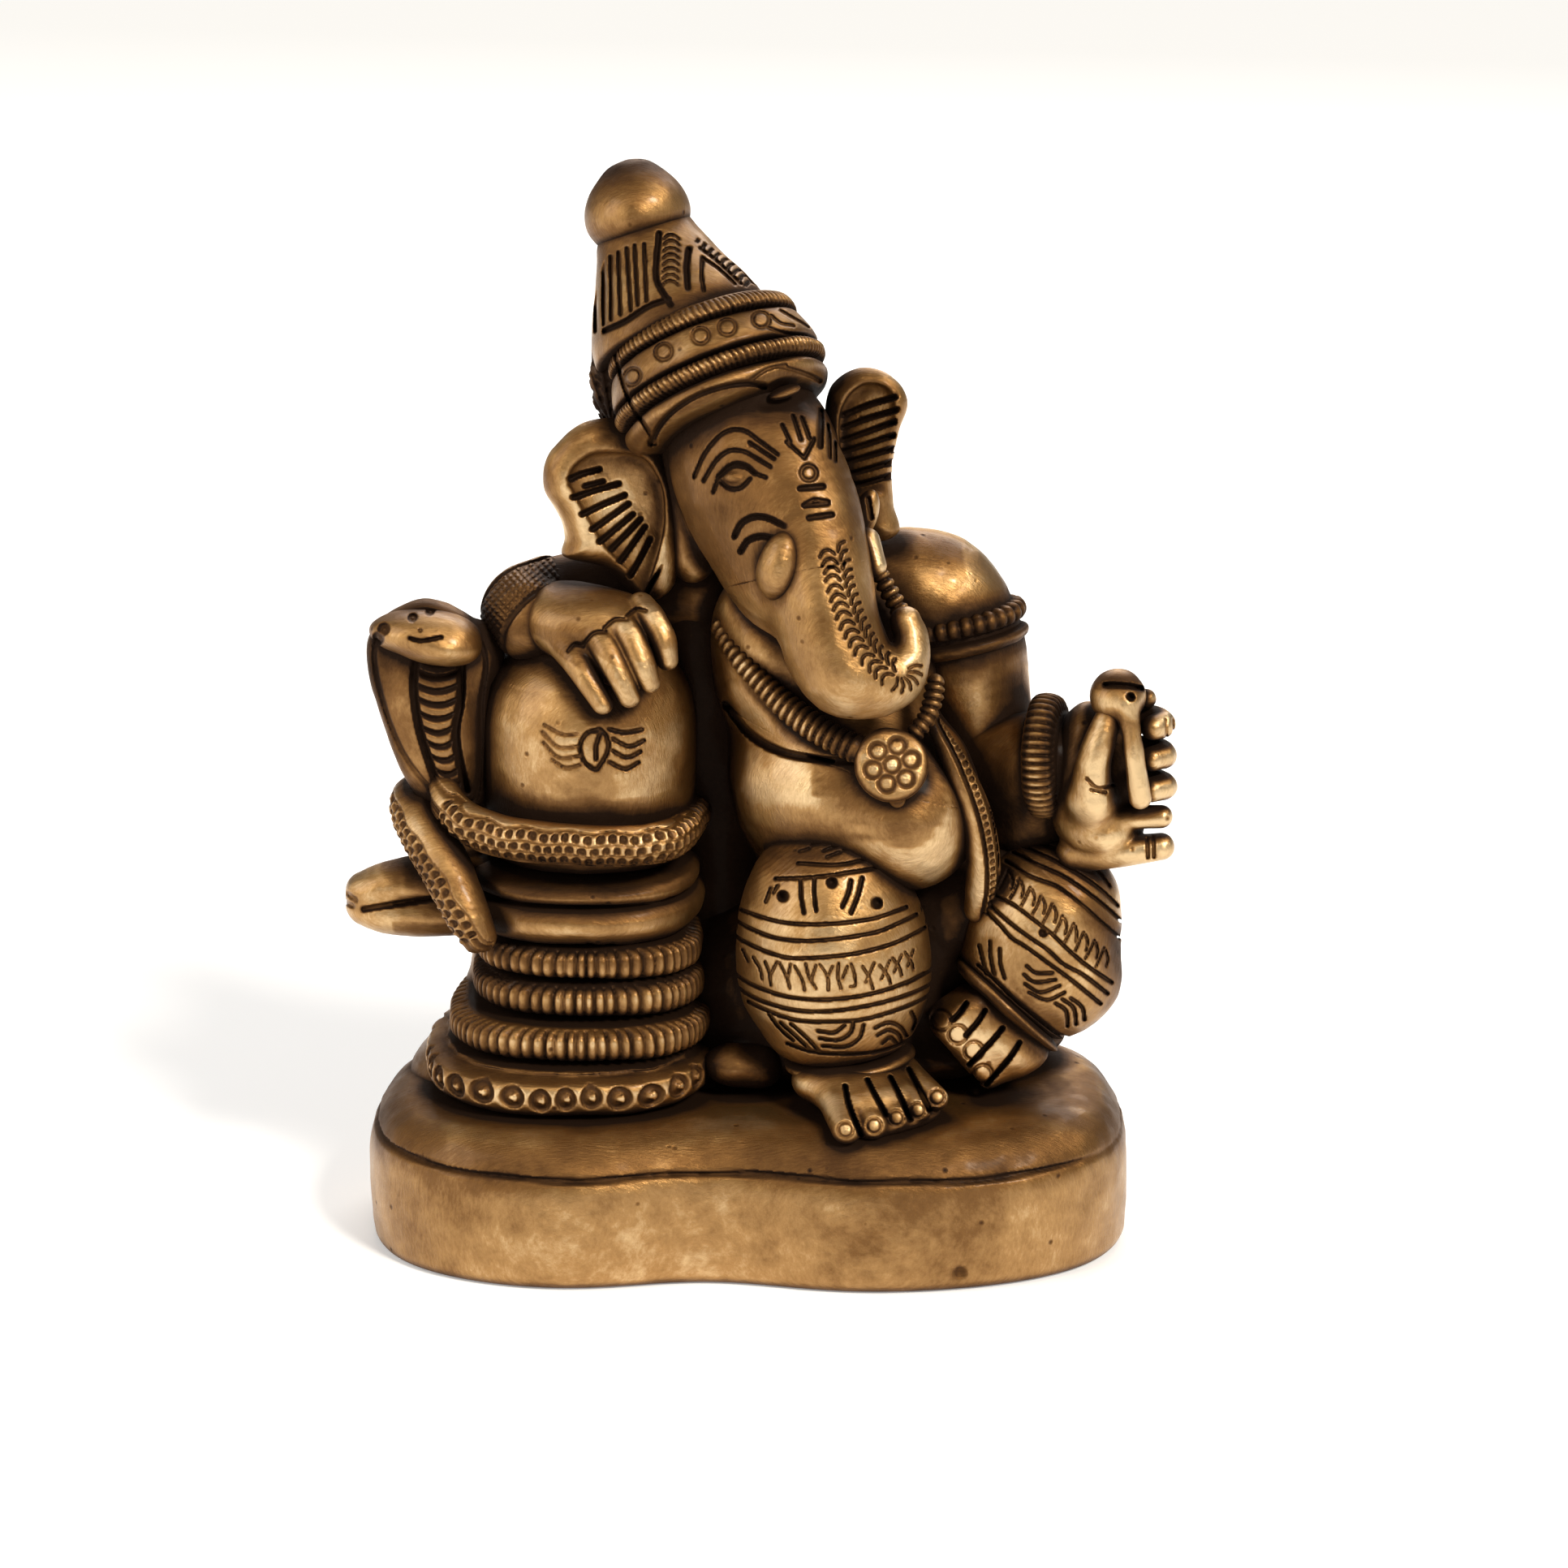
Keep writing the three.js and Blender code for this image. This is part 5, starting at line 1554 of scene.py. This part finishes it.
def trim(low, high, solid):
    """Shrinks a box to the part of it that a half-space keeps, in slices."""
    x, y, z = grid_axes(low, high, 1.0)
    inside = solid.distance(x, y, z) < 1.5
    spans = [np.nonzero(inside.any(axis=tuple(j for j in range(3) if j != i)))[0] for i in range(3)]
    first, last = np.array([s[0] for s in spans]), np.array([s[-1] for s in spans])
    return low + first * 1.0, np.minimum(low + last * 1.0 + 1.0, high)


WHOLE_STEP = 0.7
PATINA_AND_SHADE_REACHES = ((0.9, 0.3), (2.0, 0.35), (4.5, 0.35))  # how far out a recess or a nearby part is felt for, and its share of the patina and painted shade
WHOLE_LOW, WHOLE_HIGH = np.array([-53.0, -28.0, -3.0]), np.array([54.0, 28.0, 130.0])
# Patina beyond what the recesses hold: more on the pieces that are less handled. The joining web's large
# share is painted shade for the dark gap between the body and the linga, and the plinth's share paints its
# side darker.
AGE_AND_SHADE = {
    "base_plinth": 0.14, "cobra_hood": 0.16, "cobra_tail": 0.06, "crown_bead_band": -0.04,
    "crown_cone": 0.12, "crown_knob": 0.2, "crown_jewel": 0.1, "crown_rim": -0.06,
    "crown_rope_lower": -0.14, "crown_rope_upper": -0.1, "crown_back_tassel": 0.3, "ear_left": -0.1,
    "ear_right": -0.06, "bangle_right": 0.12, "yoni_spout": 0.1, "bead_ring": -0.1,
    "reeded_ring_lower": -0.12, "reeded_ring_middle": -0.12, "reeded_ring_upper": -0.12, "hand_right": 0.08,
    "leg_right": 0.08, "tusk_right": 0.16, "belly": 0.04, "leg_left": 0.05, "upper_arm_left": 0.1,
    "cobra_head": 0.12, "linga_dome": 0.06, "hips": 0.3, "joining_web": 0.5, "offering": 0.25,
    "torso": 0.06, "upper_arm_right": 0.3, "forearm_left": 0.1,
}


def uneven_surface(shape):
    """Shallow dents of a few widths over the whole idol, the same each time."""
    dice = np.random.default_rng(20)
    total = np.zeros(shape, dtype=np.float32)
    for width, height in ((2, 0.035), (6, 0.06), (16, 0.09)):
        coarse = dice.standard_normal([n // width + 3 for n in shape]).astype(np.float32)
        for axis, n in enumerate(shape):
            at = np.arange(n) / width
            low = at.astype(int)
            share = (at - low).astype(np.float32)
            share = (share * share * (3 - 2 * share)).reshape([-1 if i == axis else 1 for i in range(3)])
            coarse = np.take(coarse, low, axis) * (1 - share) + np.take(coarse, low + 1, axis) * share
        total += height * coarse
    return total


def whole_idol(all_steps):
    """The distance to the nearest piece, on one coarse grid over the whole idol."""
    x, y, z = grid_axes(WHOLE_LOW, WHOLE_HIGH, WHOLE_STEP)
    whole = np.full((x.size, y.size, z.size), FAR, dtype=np.float32)
    for steps, _ in all_steps.values():
        low, high = reach_of(steps)
        window = window_between(low - FAR, high + FAR, x, y, z)
        part = sculpt_wide(steps, x[window[0]], y[:, window[1]], z[:, :, window[2]])
        whole[window] = np.minimum(whole[window], part)
    return whole


def sculpt_wide(steps, x, y, z):
    """The same on a coarse grid, with each solid worked in over the whole grid."""
    clay = None
    for what, solid, blend in steps:
        tool = solid.distance(x, y, z)
        clay = tool if clay is None else worked(clay, what, tool, blend)
    return np.minimum(clay, FAR)


def sampled(grid, low, step, points):
    """Values between a grid's points."""
    at = (points - low) / step
    top = np.array(grid.shape) - 1.001
    at = np.clip(at, 0, top)
    i = at.astype(np.int32)
    f = (at - i).astype(np.float32)
    out = np.zeros(len(points), dtype=np.float32)
    for dx in (0, 1):
        for dy in (0, 1):
            for dz in (0, 1):
                share = np.abs(1 - dx - f[:, 0]) * np.abs(1 - dy - f[:, 1]) * np.abs(1 - dz - f[:, 2])
                out += share * grid[i[:, 0] + dx, i[:, 1] + dy, i[:, 2] + dz]
    return out


def corner_normals(points, quads):
    a, b, c, d = (points[quads[:, i]] for i in range(4))
    facing = np.cross(c - a, d - b)
    normals = np.zeros_like(points)
    for i in range(4):
        for axis in range(3):
            normals[:, axis] += np.bincount(quads[:, i], weights=facing[:, axis], minlength=len(points))
    return normals / np.maximum(np.linalg.norm(normals, axis=1, keepdims=True), 1e-9)


def cast(name, steps, cuts, step, whole, uneven):
    """A piece's mesh: its points, its four-sided faces, and how much patina and painted shade lie at each
    point.
    """
    low, high = reach_of(steps)
    low, high = low - 3 * step, high + 3 * step
    x, y, z = grid_axes(low, high, step)
    clay = sculpt(steps, x, y, z)
    band = np.nonzero(np.abs(clay) < SKIN)
    here = x.ravel()[band[0]], y.ravel()[band[1]], z.ravel()[band[2]]
    for cut in cuts:
        clay[band] += cut(*here).astype(np.float32)
    # The casting's dents fade out at the foot, so that the plinth stands flat.
    dents = sampled(uneven, WHOLE_LOW, WHOLE_STEP, np.stack(here, axis=1))
    clay[band] += dents * step_up(here[2], BOTTOM, BOTTOM + 2)
    grid = openvdb.FloatGrid(FAR)
    grid.copyFromArray(clay)
    points, quads = grid.convertToQuads(0.0)
    points = points.astype(np.float64) * step + low
    quads = quads.astype(np.int64)
    normals = corner_normals(points, quads)
    centre = points.mean(0)
    if ((points - centre) * normals).sum() < 0:
        quads, normals = quads[:, ::-1], -normals
    engraved = np.zeros(len(points), dtype=np.float32)
    for cut in cuts:
        engraved = np.maximum(engraved, cut(*points.astype(np.float32).T))
    patina_and_shade = np.full(len(points), AGE_AND_SHADE.get(name, 0.0), dtype=np.float32)
    # Darker where the idol's other solids close in over the surface: dark patina in its hollows, and painted
    # shade between and under parts.
    for reach, share in PATINA_AND_SHADE_REACHES:
        open_way = sampled(whole, WHOLE_LOW, WHOLE_STEP, points + normals * reach)
        patina_and_shade += share * (1 - np.clip(open_way / reach, 0, 1))
    if name in ("head", "trunk"):  # the forehead is darker than the trunk's end
        patina_and_shade += 0.1 + 0.14 * step_up(points[:, 2], 74, 90)
    if name == "base_plinth":  # painted light: its upward-facing top is lightened, leaving the side darker
        patina_and_shade -= 0.12 * step_up(normals[:, 2], 0.35, 0.9)
    return points, quads, engraved, patina_and_shade


def mesh_from(name, points, quads, engraved, patina_and_shade, material):
    mesh = bpy.data.meshes.new(name)
    mesh.vertices.add(len(points))
    mesh.vertices.foreach_set("co", (points * MM + HOME).astype(np.float32).ravel())
    mesh.loops.add(quads.size)
    mesh.loops.foreach_set("vertex_index", quads.astype(np.int32).ravel())
    mesh.polygons.add(len(quads))
    mesh.polygons.foreach_set("loop_start", np.arange(0, quads.size, 4, dtype=np.int32))
    mesh.polygons.foreach_set("use_smooth", np.ones(len(quads), dtype=bool))
    mesh.update(calc_edges=True)
    for label, values in (("engraved", engraved), ("patina_and_shade", patina_and_shade)):
        mesh.attributes.new(label, "FLOAT", "POINT").data.foreach_set("value", values.astype(np.float32))
    mesh.materials.append(material)
    made = bpy.data.objects.new(name, mesh)
    bpy.context.collection.objects.link(made)
    return made


# ---- Materials ----


def node(tree, kind, links=(), **settings):
    """Adds a node. links are (input, output) pairs, and settings its properties or its inputs' values."""
    made = tree.nodes.new(kind)
    for key, value in settings.items():
        if hasattr(made, key):
            setattr(made, key, value)
        else:
            made.inputs[key.replace("_", " ")].default_value = value
    for target, source in links:
        tree.links.new(source, made.inputs[target])
    return made


def ramp(tree, source, stops):
    made = node(tree, "ShaderNodeValToRGB", [("Fac", source)])
    while len(made.color_ramp.elements) < len(stops):
        made.color_ramp.elements.new(0.5)
    for element, (at, colour) in zip(made.color_ramp.elements, stops):
        element.position = at
        element.color = (*colour, 1) if len(colour) == 3 else colour
    return made


def maths(tree, operation, a, b=None, clamp=False):
    made = tree.nodes.new("ShaderNodeMath")
    made.operation, made.use_clamp = operation, clamp
    for i, value in enumerate((a, b)):
        if value is None:
            continue
        if isinstance(value, (int, float)):
            made.inputs[i].default_value = value
        else:
            tree.links.new(value, made.inputs[i])
    return made.outputs[0]


def swing(tree, noise, gain):
    """A noise node's value, centred on 0."""
    return maths(tree, "MULTIPLY", maths(tree, "SUBTRACT", noise.outputs["Fac"], 0.5), gain)


def aged_brass(name, darker):
    """Worn brass: bright on the high places, golden brown between, and dark patina left in every recess,
    deepened with painted shade where other parts close in.
    """
    material = bpy.data.materials.new(name)
    material.use_nodes = True
    tree = material.node_tree
    tree.nodes.clear()
    place = node(tree, "ShaderNodeTexCoord").outputs["Object"]
    engraved = node(tree, "ShaderNodeAttribute", attribute_name="engraved").outputs["Fac"]
    patina_and_shade = node(tree, "ShaderNodeAttribute", attribute_name="patina_and_shade").outputs["Fac"]
    cloud = node(tree, "ShaderNodeTexNoise", [("Vector", place)], Scale=210.0, Detail=7.0, Roughness=0.62)
    blotch = node(tree, "ShaderNodeTexNoise", [("Vector", place)], Scale=55.0, Detail=4.0, Roughness=0.55)
    grain = node(tree, "ShaderNodeTexNoise", [("Vector", place)], Scale=1400.0, Detail=4.0, Roughness=0.7)
    pits = node(tree, "ShaderNodeTexVoronoi", [("Vector", place)], Scale=330.0)
    pitted = ramp(tree, pits.outputs["Distance"], [(0.0, (1, 1, 1)), (0.13, (0, 0, 0))]).outputs["Color"]
    sparse = ramp(tree, pits.outputs["Color"], [(0.55, (0, 0, 0)), (0.62, (1, 1, 1))]).outputs["Color"]
    pitted = maths(tree, "MULTIPLY", pitted, sparse)
    stretch = node(
        tree, "ShaderNodeMapping", [("Vector", place)], Rotation=(0.4, 0.2, 0.5), Scale=(1.0, 9.0, 1.4),
    )
    fine_lines = node(
        tree, "ShaderNodeTexNoise", [("Vector", stretch.outputs[0])], Scale=700.0, Detail=5.0,
        Roughness=0.75,
    )

    groove = maths(tree, "MULTIPLY", engraved, 1.7, clamp=True)
    # the attribute read here is patina in hollows and painted shade where parts close in, made stronger
    deep = maths(tree, "MULTIPLY", patina_and_shade, 1.5)
    uneven = swing(tree, cloud, 0.45)
    broad = swing(tree, blotch, 0.38)
    lines = swing(tree, fine_lines, 0.32)
    patina = maths(tree, "ADD", maths(tree, "MAXIMUM", groove, deep), maths(tree, "ADD", uneven, broad))
    patina = maths(tree, "ADD", patina, maths(tree, "ADD", lines, maths(tree, "MULTIPLY", pitted, 0.5)))
    patina = maths(tree, "ADD", patina, darker, clamp=True)
    colour = ramp(
        tree, patina,
        [
            (0.0, (0.78, 0.55, 0.29)), (0.2, (0.43, 0.24, 0.085)), (0.42, (0.2, 0.095, 0.028)),
            (0.68, (0.085, 0.037, 0.011)), (1.0, (0.018, 0.007, 0.002)),
        ],
    )
    rough = ramp(tree, patina, [(0.0, (0.24,) * 3), (0.45, (0.36,) * 3), (1.0, (0.7,) * 3)])
    rougher = maths(
        tree, "ADD", rough.outputs["Color"], maths(tree, "MULTIPLY", fine_lines.outputs["Fac"], 0.12),
    )
    metal = ramp(tree, patina, [(0.3, (0.95,) * 3), (1.0, (0.6,) * 3)])
    height = maths(
        tree, "ADD", maths(tree, "MULTIPLY", grain.outputs["Fac"], 0.5), fine_lines.outputs["Fac"],
    )
    height = maths(tree, "SUBTRACT", height, maths(tree, "MULTIPLY", pitted, 1.4))
    bump = node(tree, "ShaderNodeBump", [("Height", height)], Strength=0.42, Distance=0.00025)
    shader = node(
        tree, "ShaderNodeBsdfPrincipled",
        [
            ("Base Color", colour.outputs["Color"]), ("Roughness", rougher),
            ("Metallic", metal.outputs["Color"]), ("Normal", bump.outputs["Normal"]),
            ("Coat Weight", ramp(tree, patina, [(0.1, (0.4,) * 3), (0.6, (0.02,) * 3)]).outputs["Color"]),
        ], Coat_Roughness=0.2, Specular_IOR_Level=0.25,
    )
    node(tree, "ShaderNodeOutputMaterial", [("Surface", shader.outputs[0])])
    return material


# ---- Making ----
materials = {
    "brass_polished": aged_brass("polished_brass", 0.0), "brass_aged": aged_brass("chased_brass", 0.08),
}
recipes = {name: function() for name, (function, _, _) in PIECES.items()}
whole = whole_idol(recipes)
uneven = uneven_surface(whole.shape)


def cast_piece(name):
    steps, cuts = recipes[name]
    return cast(name, steps, cuts, PIECES[name][1], whole, uneven)


with ThreadPoolExecutor(4) as workers:
    castings = dict(zip(recipes, workers.map(cast_piece, recipes)))

for name, (points, quads, engraved, patina_and_shade) in castings.items():
    slot = PIECES[name][2]
    made = mesh_from("cast_" + name, points, quads, engraved, patina_and_shade, materials[slot])
    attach(made, "root")
    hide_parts(name)


# ---- Floor, light and camera ----


def make_floor():
    mesh = bpy.data.meshes.new("floor")
    half = 3.0
    mesh.from_pydata(
        [(-half, -half, 0), (half, -half, 0), (half, half, 0), (-half, half, 0)], [], [range(4)],
    )
    floor = bpy.data.objects.new("floor", mesh)
    material = bpy.data.materials.new("pale_floor")
    material.use_nodes = True
    shader = material.node_tree.nodes["Principled BSDF"]
    shader.inputs["Base Color"].default_value = (0.9, 0.9, 0.9, 1)
    shader.inputs["Emission Color"].default_value = (1, 1, 1, 1)
    shader.inputs["Emission Strength"].default_value = 0.24
    shader.inputs["Roughness"].default_value = 0.9
    mesh.materials.append(material)
    bpy.context.collection.objects.link(floor)


def aim(light, name, place, target):
    lamp = bpy.data.objects.new(name, light)
    lamp.location = place
    lamp.rotation_euler = (Vector(target) - Vector(place)).to_track_quat("-Z", "Y").to_euler()
    bpy.context.collection.objects.link(lamp)


def sun_light(name, place, strength, angle, colour, target):
    light = bpy.data.lights.new(name, "SUN")
    light.energy, light.angle, light.color = strength, math.radians(angle), colour
    aim(light, name, place, target)


def area_light(name, place, size, watts, colour, target):
    light = bpy.data.lights.new(name, "AREA")
    light.shape, light.size, light.size_y = "RECTANGLE", size[0], size[1]
    light.energy, light.color = watts, colour
    aim(light, name, place, target)


CAMERA_AIM, CAMERA_DISTANCE, CAMERA_LENS = (4.2, 0, 53.9), 0.56, 109.57


def make_camera():
    """The camera looks down at the idol by the same angle that the drawing plane leans."""
    target = Vector(HOME) + Vector(CAMERA_AIM) * MM
    ahead = Vector((0, math.cos(LEAN), -math.sin(LEAN)))
    camera = bpy.data.cameras.new("camera")
    camera.sensor_width = 36
    camera.lens = CAMERA_LENS
    camera.clip_start, camera.clip_end = 0.01, 20
    holder = bpy.data.objects.new("camera", camera)
    holder.location = target - ahead * CAMERA_DISTANCE
    holder.rotation_euler = (math.pi / 2 - LEAN, 0, 0)
    bpy.context.collection.objects.link(holder)
    bpy.context.scene.camera = holder


make_floor()
make_camera()
MIDDLE = (0, 0, 0.06)
sun_light("key", (0.42, -0.5, 0.62), 3.1, 14, (1.0, 0.95, 0.86), MIDDLE)
area_light("left", (-0.5, -0.25, 0.35), (0.35, 0.5), 2.2, (1.0, 0.96, 0.9), MIDDLE)
area_light("back", (0.1, 0.6, 0.5), (0.6, 0.3), 3.0, (1.0, 0.97, 0.94), MIDDLE)
world = bpy.data.worlds.new("studio")
world.use_nodes = True
world.node_tree.nodes["Background"].inputs["Color"].default_value = (0.9, 0.9, 0.9, 1)
world.node_tree.nodes["Background"].inputs["Strength"].default_value = 0.2
bpy.context.scene.world = world
bpy.context.scene.view_settings.view_transform = "Standard"
